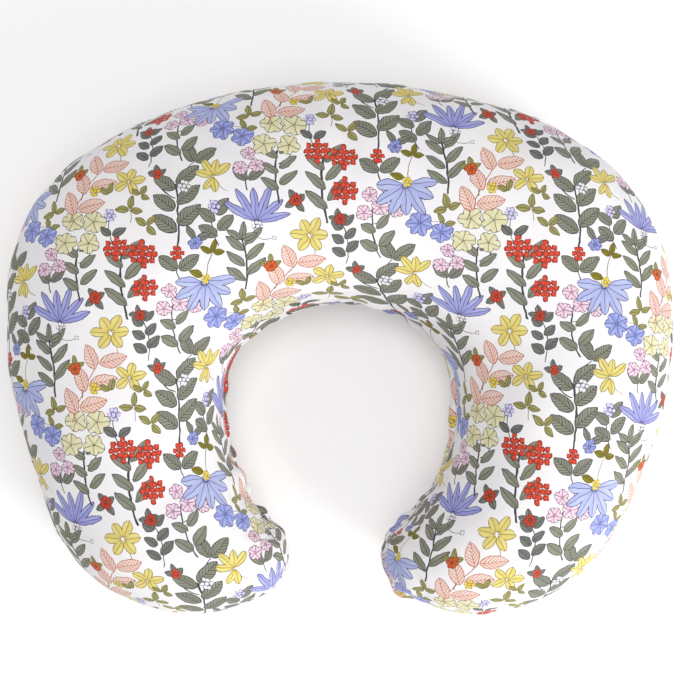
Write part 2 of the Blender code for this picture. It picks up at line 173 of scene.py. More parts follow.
@dataclass(frozen=True)
class Cushion:
    """The stuffed form. A station runs from -1 at the left arm's tip over 0 at the back to 1 at the
    right arm's tip. An angle runs from 0 at the outer edge over the top to pi at the waist edge, and
    is negative under the seam.
    """

    back_y: float = 0.2222
    waist_y: float = 0.0363
    outer_arcs: tuple[Arc, ...] = (Arc(0.4250, 27.3), Arc(0.1580, 60.7), Arc(0.3850, 28.7),
                                   Arc(0.1405, 50.0), Arc(0.1290, 39.2), Arc(0.0380, 64.1))
    waist_arcs: tuple[Arc, ...] = (Arc(0.1107, 45.1), Arc(0.0604, 40.9))
    waist_closing: tuple[float, float] = (51.1, -47.1)
    seam_height: float = 0.066
    crown_rise: float = 0.079
    belly_drop: float = 0.0715
    full_half_width: float = 0.095
    power: float = 2.2
    tip_shift: float = 0.0042
    tip_shift_from: float = -0.090
    tip_shift_over: float = 0.090

    def outer(self) -> Edge:
        """The outer edge."""
        return Edge(self.back_y, self.outer_arcs)

    def waist(self) -> Edge:
        """The waist edge."""
        return waist_edge(self.waist_y, self.waist_arcs, self.waist_closing, self.outer().tip())

    def edges(self, station: Array, inset: float) -> tuple[Array, Array]:
        """Outer and waist edge points of stations.

        Args:
            station: the stations.
            inset: distance inside the slipcover's outer face.

        Returns:
            Both sets of points.
        """
        side = np.where(station < 0, -1.0, 1.0)
        both = []
        for edge, sign in ((self.outer(), 1.0), (self.waist(), -1.0)):
            points = edge.at(np.abs(station), sign * inset)
            points[..., 0] *= side
            both.append(points)
        return both[0], both[1]

    def surface(self, station: Array, angle: Array, side_inset: float,
                face_inset: float) -> Array:
        """Points of a layer.

        Args:
            station: stations, broadcast against the angles.
            angle: angles round the section, in radians.
            side_inset: distance inside the slipcover at the seam.
            face_inset: distance inside it at the crown and at the floor.

        Returns:
            Points with a last axis of three.
        """
        station, angle = np.broadcast_arrays(station, angle)
        outer, waist = self.edges(station, side_inset)
        middle, half = (outer + waist) / 2, (outer - waist) / 2
        width = np.linalg.norm(half, axis=-1)
        full = 1 - (1 - np.minimum(width / self.full_half_width, 1.0)) ** 2
        across = np.sign(np.cos(angle)) * np.abs(np.cos(angle)) ** (2 / self.power)
        rise = np.sign(np.sin(angle)) * np.abs(np.sin(angle)) ** (2 / self.power)
        reach = np.where(rise > 0, self.crown_rise, self.belly_drop) - face_inset
        height = np.maximum(self.seam_height + rise * full * reach, face_inset)
        plan = middle + across[..., None] * half
        lean = np.clip((self.tip_shift_from - plan[..., 1]) / self.tip_shift_over, 0.0, 1.0)
        plan[..., 0] -= self.tip_shift * lean * lean * (3 - 2 * lean)
        return np.concatenate([plan, height[..., None]], axis=-1)


@dataclass(frozen=True)
class Layer:
    """A cloth layer's place inside the slipcover's outer face.

    Args:
        side: distance at the seam.
        face: distance at the crown and the floor.
    """

    side: float
    face: float


SLIPCOVER = Layer(0.0, 0.0)
CASING = Layer(0.0052, 0.0016)
FILLING = Layer(0.0080, 0.0028)


# ---- Node helpers ----
@dataclass(frozen=True)
class Field:
    """A value that varies over the surface, as the output socket that carries it."""

    tree: Tree
    socket: bpy.types.NodeSocket

    def math(self, operation: str, *others: Number) -> Field:
        """Result of a Math node on this value and the others."""
        return node(self.tree, "ShaderNodeMath", dict(enumerate((self, *others))), operation=operation)

    def __add__(self, other: Number) -> Field:
        """Sum."""
        return self.math("ADD", other)

    def __sub__(self, other: Number) -> Field:
        """Difference."""
        return self.math("SUBTRACT", other)

    def __mul__(self, other: Number) -> Field:
        """Product."""
        return self.math("MULTIPLY", other)

    def __truediv__(self, other: Number) -> Field:
        """Quotient."""
        return self.math("DIVIDE", other)

    def ramp(self, low: Number, high: Number, start: float = 0.0, end: float = 1.0) -> Field:
        """Value led from low..high to start..end and held beyond."""
        return node(self.tree, "ShaderNodeMapRange", dict(enumerate((self, low, high, start, end))))


def join(tree: Tree, value: object, socket: bpy.types.NodeSocket) -> None:
    """Link a field to a socket, or set the socket to a plain value."""
    if isinstance(value, Field):
        tree.links.new(value.socket, socket)
    elif isinstance(value, (int, float)) or socket.type == "VECTOR":
        socket.default_value = value
    else:
        socket.default_value = (*value, 1.0)


def node(tree: Tree, kind: str, inputs: dict[str | int, object] | None = None,
         output: str | int = 0, **settings: object) -> Field:
    """Add a node.

    Args:
        tree: the tree to add it to.
        kind: the node's type.
        inputs: what joins each input.
        output: the output to hand back.
        settings: the node's own settings.

    Returns:
        The chosen output.
    """
    made = tree.nodes.new(kind)
    for name, value in settings.items():
        setattr(made, name, value)
    for name, value in (inputs or {}).items():
        join(tree, value, made.inputs[name])
    return Field(tree, made.outputs[output])


def blend_colour(tree: Tree, share: object, under: object, over: object) -> Field:
    """Colour over another, by a share."""
    inputs = {0: share, 6: under, 7: over}
    return node(tree, "ShaderNodeMix", inputs, 2, data_type="RGBA", clamp_factor=True)


def vectors(tree: Tree, operation: str, *inputs: object, output: str = "Vector") -> Field:
    """Result of a Vector Math node."""
    return node(tree, "ShaderNodeVectorMath", dict(enumerate(inputs)), output, operation=operation)


def along(vector: Field, axis: int) -> Field:
    """One part of a vector. A dot product leaves no unused output behind, as Separate XYZ would."""
    direction = tuple(float(i == axis) for i in range(3))
    return vectors(vector.tree, "DOT_PRODUCT", vector, direction, output="Value")


def together(tree: Tree, x: object, y: object, z: object = 0.0) -> Field:
    """A vector from its parts."""
    return node(tree, "ShaderNodeCombineXYZ", {0: x, 1: y, 2: z})


class Group:
    """A shader node group with named inputs and outputs, built once and placed in many trees."""

    SOCKETS = {"value": "NodeSocketFloat", "colour": "NodeSocketColor", "vector": "NodeSocketVector"}

    def __init__(self, name: str, inputs: dict[str, str], outputs: dict[str, str]) -> None:
        """Start a group.

        Args:
            name: its name.
            inputs: name and kind of each input.
            outputs: name and kind of each output.
        """
        self.tree = bpy.data.node_groups.new(name, "ShaderNodeTree")
        for title, kind in inputs.items():
            self.tree.interface.new_socket(title, in_out="INPUT", socket_type=self.SOCKETS[kind])
        for title, kind in outputs.items():
            self.tree.interface.new_socket(title, in_out="OUTPUT", socket_type=self.SOCKETS[kind])
        self._entry = self.tree.nodes.new("NodeGroupInput")
        self._exit = self.tree.nodes.new("NodeGroupOutput")

    def __getitem__(self, title: str) -> Field:
        """An input, as a field inside the group."""
        return Field(self.tree, self._entry.outputs[title])

    def __setitem__(self, title: str, value: Field) -> None:
        """Send a field to an output."""
        join(self.tree, value, self._exit.inputs[title])

    def place(self, tree: Tree, inputs: dict[str, object], output: str | int = 0) -> Field:
        """Put the group in a tree.

        Args:
            tree: the tree.
            inputs: what joins each named input.
            output: the output to hand back.

        Returns:
            That output.
        """
        made = tree.nodes.new("ShaderNodeGroup")
        made.node_tree = self.tree
        for title, value in inputs.items():
            join(tree, value, made.inputs[title])
        return Field(tree, made.outputs[output])


# ---- Botanical print, in millimetres of flat cloth ----
class Ink(Enum):
    """Outline colours of the print."""

    SLATE = linear(66, 67, 72)
    VIOLET = linear(75, 76, 117)
    STRAW = linear(133, 117, 58)
    ROSE = linear(117, 87, 100)
    CORAL = linear(176, 109, 92)
    RUST = linear(117, 45, 34)
    MOSS = linear(100, 95, 47)
    BARK = linear(81, 80, 73)


class Paint(Enum):
    """Fill, shade at the base and outline of each kind of petal, leaf or berry."""

    SAGE = (linear(141, 143, 125), linear(122, 124, 106), Ink.SLATE)
    SLATE_LEAF = (linear(122, 127, 116), linear(103, 106, 99), Ink.SLATE)
    VIOLET = (linear(167, 171, 220), linear(139, 141, 203), Ink.VIOLET)
    ICE = (linear(180, 190, 226), linear(162, 167, 215), Ink.VIOLET)
    SKY = (linear(163, 173, 224), linear(122, 131, 203), Ink.VIOLET)
    LEMON = (linear(226, 213, 133), linear(215, 194, 99), Ink.STRAW)
    BUTTER = (linear(226, 222, 186), linear(211, 205, 152), Ink.BARK)
    BERRY = (linear(215, 80, 55), linear(196, 59, 40), Ink.RUST)
    PINK = (linear(234, 211, 224), linear(224, 180, 203), Ink.ROSE)
    PEACH = (linear(238, 213, 201), linear(232, 192, 177), Ink.CORAL)
    OLIVE = (linear(160, 156, 99), linear(139, 135, 74), Ink.MOSS)
    MUSTARD = (linear(133, 124, 32), linear(114, 103, 21), Ink.MOSS)
    ORANGE = (linear(226, 110, 49), linear(215, 84, 34), Ink.RUST)
    PEARL = (linear(234, 232, 234), linear(218, 217, 226), Ink.BARK)
    LILAC = (linear(215, 209, 234), linear(196, 188, 226), Ink.VIOLET)
    GOLD = (linear(232, 215, 87), linear(217, 190, 57), Ink.STRAW)


class PrintKit:
    """The node groups that the print is drawn with, in millimetres of cloth.

    Args:
        repeat: width and height of the repeat; every second column stands half a repeat lower.
        ink: width of the outlines.
    """

    VEIN = 0.24
    TIP_SCALE = 1000.0

    def __init__(self, repeat: float, ink: float) -> None:
        """Build the groups."""
        self.repeat = self._repeat_group(repeat)
        self.joints = self._joints_group()
        self.lattice = self._lattice_group()
        self.stem = self._stem_group()
        self.berries = self._berries_group()
        self.spray = self._spray_group(ink)

    @staticmethod
    def _from_foot(group: Group) -> Field:
        """Place seen from the group's foot."""
        return vectors(group.tree, "SUBTRACT", group["Place"], group["Foot"])

    @staticmethod
    def _turned(group: Group) -> tuple[Field, Field]:
        """Place across and along from the group's foot, with its turn taken out."""
        moved = PrintKit._from_foot(group)
        x, y = along(moved, 0), along(moved, 1)
        cosine, sine = group["Turn"].math("COSINE"), group["Turn"].math("SINE")
        return x * cosine - y * sine, x * sine + y * cosine

    def _repeat_group(self, repeat: float) -> Group:
        """Group that turns a place on the cloth into one round the nearest copy of a plant."""
        group = Group("repeat place", {"Place": "vector", "Foot": "vector"}, {"Place": "vector"})
        tree, moved = group.tree, self._from_foot(group)
        x, y = along(moved, 0), along(moved, 1)
        column = (x / repeat + 0.5).math("FLOOR")
        half = repeat / 2
        across = x - column * repeat
        group["Place"] = together(tree, across, (y - column * half).math("WRAP", half, -half))
        return group

    def _joints_group(self) -> Group:
        """Group that turns a place into one round the joint of a stalk whose leaf it may lie on."""
        kinds = {"Place": "vector", "Foot": "vector"}
        kinds |= dict.fromkeys(("Turn", "Pitch", "Last", "Lean", "Stagger", "Taper"), "value")
        group = Group("joint place", kinds, {"Place": "vector"})
        tree, (x, y) = group.tree, self._turned(group)
        level = y - x.math("GREATER_THAN", 0.0) * group["Stagger"]
        rooted = level - x.math("ABSOLUTE") * group["Lean"]
        joint = (rooted / group["Pitch"]).math("ROUND").math("MAXIMUM", 0.0).math("MINIMUM", group["Last"])
        growth = joint.math("MULTIPLY_ADD", group["Taper"], 1.0)
        group["Place"] = together(tree, x * growth, (level - joint * group["Pitch"]) * growth)
        return group

    @staticmethod
    def _lattice_group() -> Group:
        """Group that finds the nearest point of an uneven lattice of staggered rows."""
        kinds = {"Place": "vector", "Spacing": "value"}
        group = Group("lattice middle", kinds, {"Middle": "vector"})
        tree, spacing = group.tree, group["Spacing"]
        x, y = along(group["Place"], 0) / spacing, along(group["Place"], 1) / spacing
        row = y.math("ROUND")
        column = (x - row * 0.5).math("ROUND")
        drift = (column * 2.7 + row * 4.1).math("SINE") * 0.11
        lift = (column * 3.9 - row * 1.7).math("SINE") * 0.11
        middle_x, middle_y = (row.math("MULTIPLY_ADD", 0.5, column) + drift) * spacing, (row + lift) * spacing
        group["Middle"] = together(tree, middle_x, middle_y)
        return group

    def _stem_group(self) -> Group:
        """Group that draws a bowed stalk over a colour."""
        kinds = {"Under": "colour", "Place": "vector", "Foot": "vector", "Turn": "value", "Length": "value",
                 "Bow": "value", "Width": "value", "Ink": "colour"}
        group = Group("stem", kinds, {"Colour": "colour"})
        tree, (x, y) = group.tree, self._turned(group)
        share = y / group["Length"]
        aside = (x - share * (share * -4.0 + 4.0) * group["Bow"]).math("ABSOLUTE")
        clear = aside.math("MAXIMUM", ((share - 0.5).math("ABSOLUTE") - 0.5) * self.TIP_SCALE)
        inside = clear.math("LESS_THAN", group["Width"])
        group["Colour"] = blend_colour(tree, inside, group["Under"], group["Ink"])
        return group

    def _berries_group(self) -> Group:
        """Group that draws a cluster of berries over a colour."""
        kinds = {"Under": "colour", "Place": "vector", "Foot": "vector", "Size": "value", "Radius": "value",
                 "Fill": "colour", "Tint": "colour", "Ink": "colour"}
        group = Group("berries", kinds, {"Colour": "colour"})
        tree, moved = group.tree, self._from_foot(group)
        middle = self.lattice.place(tree, {"Place": moved, "Spacing": group["Size"]})
        local = vectors(tree, "SUBTRACT", moved, middle)
        distance = vectors(tree, "LENGTH", local, output="Value") / group["Size"]
        reach = vectors(tree, "LENGTH", middle, output="Value")
        member = reach.math("LESS_THAN", group["Radius"])
        inside = member * distance.math("LESS_THAN", 0.6)
        filled = blend_colour(tree, distance.math("MULTIPLY_ADD", 3.4, -0.35), group["Fill"], group["Tint"])
        drawn = blend_colour(tree, distance.math("GREATER_THAN", 0.45), filled, group["Ink"])
        group["Colour"] = blend_colour(tree, inside, group["Under"], drawn)
        return group

    def _spray_group(self, ink: float) -> Group:
        """Group that draws a fan of petals or leaves over a colour."""
        kinds = {"Under": "colour", "Place": "vector", "Foot": "vector"}
        kinds |= dict.fromkeys(("Turn", "Spread", "Count", "Start", "Length", "Width", "Roundness", "Belly",
                                "Veins"), "value")
        kinds |= dict.fromkeys(("Fill", "Tint", "Ink"), "colour")
        group = Group("spray", kinds, {"Colour": "colour"})
        tree, moved = group.tree, self._from_foot(group)
        x, y = along(moved, 0), along(moved, 1)
        reach = vectors(tree, "LENGTH", moved, output="Value")
        bearing = (x.math("ARCTAN2", y) - group["Turn"]).math("WRAP", math.pi, -math.pi)
        last = group["Count"] - 1.0
        place = bearing / group["Spread"] + last * 0.5
        which = place.math("ROUND").math("MAXIMUM", 0.0).math("MINIMUM", last)
        off = (place - which) * group["Spread"]
        length = (which * 2.4 + group["Turn"]).math("SINE").math("MULTIPLY_ADD", group["Length"] * 0.09,
                                                                 group["Length"])
        ahead, aside = reach * off.math("COSINE"), reach * off.math("SINE")
        beside = aside.math("ABSOLUTE")
        share = (ahead - group["Start"]) / length
        skewed = share.math("MAXIMUM", 0.0).math("POWER", group["Belly"])
        profile = (skewed * 4.0 * (skewed * -1.0 + 1.0)).math("POWER", group["Roundness"])
        clear = profile * (group["Width"] * 0.5) - beside
        depth = clear.math("MINIMUM", (share * -1.0 + 1.0) * length)
        inside = depth.math("GREATER_THAN", 0.0)
        ribs = (beside.math("MULTIPLY_ADD", -1.1, ahead) / (group["Width"] * 0.26)).math("FRACT")
        ribs = ribs.math("LESS_THAN", group["Veins"] * 0.2)
        lines = depth.math("LESS_THAN", ink).math("MAXIMUM", beside.math("LESS_THAN", self.VEIN))
        tint = share.math("MULTIPLY_ADD", -1.7, 0.9).math("MAXIMUM", aside.math("GREATER_THAN", 0.0) * 0.55)
        filled = blend_colour(tree, tint, group["Fill"], group["Tint"])
        drawn = blend_colour(tree, lines.math("MAXIMUM", ribs), filled, group["Ink"])
        group["Colour"] = blend_colour(tree, inside, group["Under"], drawn)
        return group


@dataclass(frozen=True)
class Spray:
    """Petals or leaves that fan out from one point.

    Args:
        x, y: the point, in the plant's own millimetres.
        turn, count, spread: the fan's middle in degrees clockwise from upright, how many there are, and
            the degrees from one to the next.
        length, width: the size of each.
        paint: its colours.
        start: clear distance from the point.
        roundness: exponent of the outline, 1 for pointed leaves, 0.5 for round petals.
        belly: below 1 where the widest place is near the stalk, above 1 where it is near the end.
        veins: strength of the side veins.
    """

    x: float
    y: float
    turn: float
    count: int
    spread: float
    length: float
    width: float
    paint: Paint
    start: float = 0.0
    roundness: float = 0.75
    belly: float = 1.0
    veins: float = 0.0

    def draw(self, kit: PrintKit, tree: Tree, under: Field, place: Field) -> Field:
        """Colour with the spray drawn over it."""
        fill, tint, ink = self.paint.value
        return kit.spray.place(tree, {
            "Under": under, "Place": place, "Foot": (self.x, self.y, 0.0), "Turn": math.radians(self.turn),
            "Spread": math.radians(max(self.spread, 1.0)), "Count": float(self.count), "Start": self.start,
            "Length": self.length, "Width": self.width, "Roundness": self.roundness, "Belly": self.belly,
            "Veins": self.veins, "Fill": fill, "Tint": tint, "Ink": ink.value})


@dataclass(frozen=True)
class Twig:
    """Pairs of leaves at the joints of a stalk.

    Args:
        x, y, turn: its first joint, and its direction in degrees clockwise from upright.
        pitch, count: distance between joints and how many there are.
        pair: the leaves at each joint.
        stagger: how much higher the right leaves stand.
        taper: how much smaller each pair is than the one below.
    """

    x: float
    y: float
    turn: float
    pitch: float
    count: int
    pair: Spray
    stagger: float = 0.0
    taper: float = 0.08

    def draw(self, kit: PrintKit, tree: Tree, under: Field, place: Field) -> Field:
        """Colour with the leaves drawn over it."""
        lean = 1 / math.tan(math.radians(self.pair.spread / 2))
        local = kit.joints.place(tree, {
            "Place": place, "Foot": (self.x, self.y, 0.0), "Turn": math.radians(self.turn),
            "Pitch": self.pitch,
            "Last": self.count - 1.0, "Lean": lean, "Stagger": self.stagger, "Taper": self.taper})
        return self.pair.draw(kit, tree, under, local)


@dataclass(frozen=True)
class Berries:
    """A tight cluster of berries.

    Args:
        x, y: its middle.
        radius: how far the berries' middles lie from it.
        size: distance between them.
        paint: its colours.
    """

    x: float
    y: float
    radius: float
    size: float
    paint: Paint = Paint.BERRY

    def draw(self, kit: PrintKit, tree: Tree, under: Field, place: Field) -> Field:
        """Colour with the berries drawn over it."""
        fill, tint, ink = self.paint.value
        return kit.berries.place(tree, {
            "Under": under, "Place": place, "Foot": (self.x, self.y, 0.0), "Size": self.size,
            "Radius": self.radius, "Fill": fill, "Tint": tint, "Ink": ink.value})


@dataclass(frozen=True)
class Stem:
    """A bowed stalk between two points, in the plant's own millimetres.

    Args:
        x, y, to_x, to_y: its ends.
        bow: how far its middle bows to its left.
        width: its thickness.
        ink: its colour.
    """

    x: float
    y: float
    to_x: float
    to_y: float
    bow: float = 0.0
    width: float = 0.7
    ink: Ink = Ink.SLATE

    def draw(self, kit: PrintKit, tree: Tree, under: Field, place: Field) -> Field:
        """Colour with the stalk drawn over it."""
        run, rise = self.to_x - self.x, self.to_y - self.y
        return kit.stem.place(tree, {
            "Under": under, "Place": place, "Foot": (self.x, self.y, 0.0), "Turn": math.atan2(run, rise),
            "Length": math.hypot(run, rise), "Bow": -self.bow, "Width": self.width / 2,
            "Ink": self.ink.value})


@dataclass(frozen=True)
class Plant:
    """A plant and where it stands in the repeat.

    Args:
        x, y: its middle, in millimetres from the corner of the repeat.
        parts: its stalks, leaves and flowers, from the lowest up.
    """

    x: float
    y: float
    parts: tuple[Spray | Twig | Berries | Stem, ...]


def blossom(x: float, y: float, size: float, paint: Paint, petals: int = 5, turn: float = 0.0) -> Spray:
    """An open flower of round petals."""
    return Spray(x, y, turn, petals, 360 / petals, size, size * 4.9 / petals, paint, 0.3, 0.5, 1.45)


def leaves(x: float, y: float, spread: float, length: float, width: float, paint: Paint = Paint.SAGE,
           turn: float = 0.0, count: int = 2, veins: float = 0.0) -> Spray:
    """Leaves that leave a stalk at one joint."""
    return Spray(x, y, turn, count, spread, length, width, paint, 0.6, 0.8, 0.85, veins)


def pair(spread: float, length: float, width: float, paint: Paint = Paint.SAGE, veins: float = 0.0) -> Spray:
    """The two leaves of each of a twig's joints."""
    return leaves(0.0, 0.0, spread, length, width, paint, 0.0, 2, veins)


def garden() -> tuple[Plant, ...]:
    """The plants of one repeat."""
    leafy_branch = Plant(28, 40, (
        Stem(2, -38, 0, 14, -2, 1.5), Stem(1, 10, 14, 32, 3, 0.8), Stem(0, 2, -15, 22, 4, 1.1),
        Twig(2, -25, -3, 17, 3, pair(106, 23, 12.5, veins=1), 5, 0.03),
        leaves(14, 32, 80, 20, 11, turn=14, veins=1), Berries(7, 12, 5.5, 3.4, Paint.PEARL),
        leaves(-15, 22, 62, 8.5, 5.5, Paint.SLATE_LEAF, -10, 3), Berries(-15, 23, 3, 2.6)))
    fan_flower = Plant(92, 24, (
        Stem(0, 0, -13, -24, 3, 0.7), Stem(-4, -9, 14, -13, -3, 0.5, Ink.BARK),
        Spray(0, 0, 8, 6, 27, 28, 6.8, Paint.VIOLET, 0.5, 0.6, 1.15),
        Berries(1, -4, 4.5, 3.0, Paint.PEARL), Berries(14, -13, 2, 3.4, Paint.PEARL)))
    round_sprig = Plant(134, 12, (
        Stem(0, 4, 4, -20, 2, 0.6, Ink.STRAW),
        Spray(0, 2, 0, 6, 58, 13.5, 8.4, Paint.LEMON, 1.5, 0.6, 1.1)))
    lily = Plant(58, 60, (
        Stem(0, 0, 12, -13, -2, 0.5, Ink.STRAW), Spray(0, 0, 192, 2, 42, 13, 6.4, Paint.LEMON, 1, 0.6, 1.2),
        Spray(0, 0, -12, 4, 42, 15.5, 6.8, Paint.LEMON, 0.5, 0.6, 1.2)))
    cream_cluster = Plant(107, 74, (
        Stem(3, -34, 1, 8, 2, 1.5), Stem(2, -4, 13, 10, -3, 0.9),
        Twig(3, -25, -2, 13, 3, pair(108, 17, 7.6), 4, 0.05),
        blossom(-10, 13, 9.2, Paint.BUTTER, 5, 12), blossom(10, 12, 8.6, Paint.BUTTER, 5, 40),
        blossom(-4, 31, 9.0, Paint.BUTTER, 5, 55), blossom(14, 29, 9.4, Paint.BUTTER, 5, 20)))
    berry_plant = Plant(148, 62, (
        Stem(0, -38, -3, 14, 3, 1.8), Stem(-2, -4, 13, 12, -4, 1.2),
        Twig(0, -27, -4, 15, 3, pair(92, 22, 8.4), 6, 0.05),
        Berries(-8, 19, 9.0, 4.4), Berries(13, 14, 9.4, 4.6), Berries(14, -13, 9.0, 4.4)))
    pink_sprig = Plant(26, 102, (
        Stem(6, -28, 0, 12, 3, 1.2), Stem(0, 0, 14, 12, -3, 0.8),
        Twig(5, -22, -8, 15, 2, pair(104, 17, 9), 3, 0.2),
        blossom(-7, 9, 6.2, Paint.PINK, 5, 30), blossom(6, 13, 6.6, Paint.PINK, 5, 8),
        blossom(18, 10, 5.8, Paint.PINK, 5, 50), blossom(-2, 23, 6.0, Paint.PINK, 5, 64),
        blossom(13, 25, 5.6, Paint.PINK, 5, 18)))
    bluebells = Plant(72, 94, (
        Stem(-6, 8, 18, -8, 8, 0.45, Ink.VIOLET),
        blossom(-9, 8, 10.2, Paint.SKY, 7, 10), blossom(8, 0, 8.6, Paint.SKY, 6, 40)))
    daisy = Plant(52, 132, (
        Stem(2, 4, 7, 26, 2, 0.6, Ink.MOSS), leaves(6, 24, 74, 10, 5.4, Paint.MUSTARD, 10, 3),
        leaves(-1, 5, 50, 13, 6.5, Paint.MUSTARD, -70, 1),
        Spray(0, 0, 178, 7, 31, 24, 8.8, Paint.ICE, 1.5, 0.6, 1.35), Berries(1, 2.5, 4.5, 2.6, Paint.GOLD)))
    peach_branch = Plant(116, 132, (
        Stem(-16, -28, 8, 16, 2, 0.8, Ink.CORAL), Stem(-7, -10, -12, 14, -2, 0.7, Ink.MOSS),
        Twig(-12, -22, 28, 19, 3, pair(100, 22, 12, Paint.PEACH, 1), 5, 0.02),
        Berries(4, -3, 4.5, 2.9, Paint.GOLD),
        leaves(-12, 14, 70, 9, 5, Paint.OLIVE, -5, 3), blossom(-12, 13, 5, Paint.ORANGE, 6)))
    olive_sprigs = Plant(150, 112, (
        Stem(0, 0, 1, -10, 1, 0.5, Ink.MOSS), leaves(0, 0, 92, 11.5, 5.8, Paint.OLIVE, 8, 3),
        leaves(-18, 14, 70, 9, 5.2, Paint.OLIVE, -20), leaves(14, -14, 92, 11, 5.8, Paint.OLIVE, 40, 3)))
    red_sprig = Plant(1, 91, (
        Stem(4, -22, -1, 14, -4, 0.8),
        Twig(4, -15, -6, 11, 3, pair(104, 13, 8, Paint.SLATE_LEAF, 1), 3, 0.08),
        leaves(-2, 15, 72, 8, 5, Paint.SLATE_LEAF, -8, 3), blossom(-1, 15, 4.6, Paint.BERRY, 7)))
    narrow_branch = Plant(82, 150, (
        Stem(3, -26, -1, 18, -2, 1.5), Twig(3, -18, -4, 13, 3, pair(96, 20, 7.6), 5, 0.04),
        leaves(-1, 17, 60, 14, 6, turn=4, count=3)))
    pink_posy = Plant(85, 64, (
        Stem(0, -16, 0, 2, 2, 0.9), leaves(0, -8, 96, 16, 8.5, veins=1),
        blossom(-6, 3, 6.0, Paint.PINK, 5, 20), blossom(7, 5, 5.8, Paint.PINK, 5, 48),
        blossom(0, 15, 5.6, Paint.PINK, 5, 70)))
    pearl_branch = Plant(59, 24, (
        Stem(4, -20, -1, 10, 3, 0.9), Twig(3, -13, -8, 13, 2, pair(100, 17, 10.5, veins=1), 5, 0.1),
        Berries(0, 11, 5.0, 3.3, Paint.LILAC)))
    yellow_pair = Plant(148, 136, (
        Stem(0, 0, 7, -12, 2, 0.5, Ink.STRAW), Spray(0, 0, 14, 5, 68, 12, 7.6, Paint.LEMON, 0.8, 0.6, 1.15),
        leaves(10, -12, 84, 8.5, 4.8, Paint.OLIVE, 30, 3)))
    broad_leaves = Plant(30, 146, (
        Stem(3, -13, 0, 8, 2, 0.9), leaves(1, -4, 108, 19, 11, veins=1), Berries(0, 10, 6.5, 3.8)))
    lilac_sprig = Plant(134, 99, (
        Stem(3, -14, 0, 8, 2, 0.7), leaves(2, -8, 112, 12, 6.5, Paint.SLATE_LEAF, 4, veins=1),
        Berries(0, 9, 5.5, 3.4, Paint.LILAC)))
    small_olive = Plant(85, 113, (
        leaves(0, 0, 84, 11, 5.6, Paint.OLIVE, -14, 3), leaves(-3, -12, 110, 9, 5, Paint.OLIVE, 30)))
    ember = Plant(123, 42, (
        leaves(0, -1, 88, 9.5, 6, Paint.SLATE_LEAF, 12, 4), blossom(0, 0, 5.2, Paint.BERRY, 7)))
    twin_leaves = Plant(44, 9, (
        leaves(0, 0, 100, 12, 6.2, turn=20, veins=1),
        blossom(0, -3, 5.6, Paint.SKY, 6)))
    return (leafy_branch, pearl_branch, broad_leaves, fan_flower, round_sprig, cream_cluster, berry_plant,
            lily, pink_sprig, pink_posy, bluebells, narrow_branch, peach_branch, daisy, olive_sprigs,
            red_sprig, yellow_pair, lilac_sprig, small_olive, ember, twin_leaves)


@dataclass(frozen=True)
class BotanicalPrint:
    """The slipcover's print.

    Args:
        repeat: width and height of the repeat.
        ink: width of the outlines.
        wobble: how far the hand-drawn edges stray.
        wobble_scale: how close together they stray, in bumps to the millimetre.
    """

    repeat: float = 158.0
    ink: float = 0.62
    wobble: float = 0.9
    wobble_scale: float = 0.13

    def group(self) -> Group:
        """Group that draws the whole print over the cloth's colour.

        Returns:
            The group, from a place in millimetres of cloth to a colour.
        """
        kit = PrintKit(self.repeat, self.ink)
        whole = Group("botanical print", {"Place": "vector", "Cloth": "colour"}, {"Colour": "colour"})
        tree = whole.tree
        noise = node(tree, "ShaderNodeTexNoise", {"Vector": whole["Place"], "Scale": self.wobble_scale,
                                                  "Detail": 1.0}, "Color", noise_dimensions="2D")
        centred = vectors(tree, "SUBTRACT", noise, (0.5, 0.5, 0.5))
        reach = (2 * self.wobble, 2 * self.wobble, 0.0)
        shaken = vectors(tree, "MULTIPLY_ADD", centred, reach, whole["Place"])
        colour = whole["Cloth"]
        for plant in garden():
            place = kit.repeat.place(tree, {"Place": shaken, "Foot": (plant.x, plant.y, 0.0)})
            for part in plant.parts:
                colour = part.draw(kit, tree, colour, place)
        whole["Colour"] = colour
        return whole


# ---- Finishes ----
def new_material(name: str, roughness: float, **constants: float) -> tuple[Material, bpy.types.Node]:
    """Material with a Principled shader.

    Args:
        name: its name.
        roughness: its roughness, until a pattern drives it.
        constants: other plain values of the shader, with _ for spaces.

    Returns:
        The material and its shader node.
    """
    made = bpy.data.materials.new(name)
    made.use_nodes = True
    shader = made.node_tree.nodes["Principled BSDF"]
    shader.inputs["Roughness"].default_value = roughness
    for title, value in constants.items():
        shader.inputs[title.replace("_", " ")].default_value = value
    return made, shader


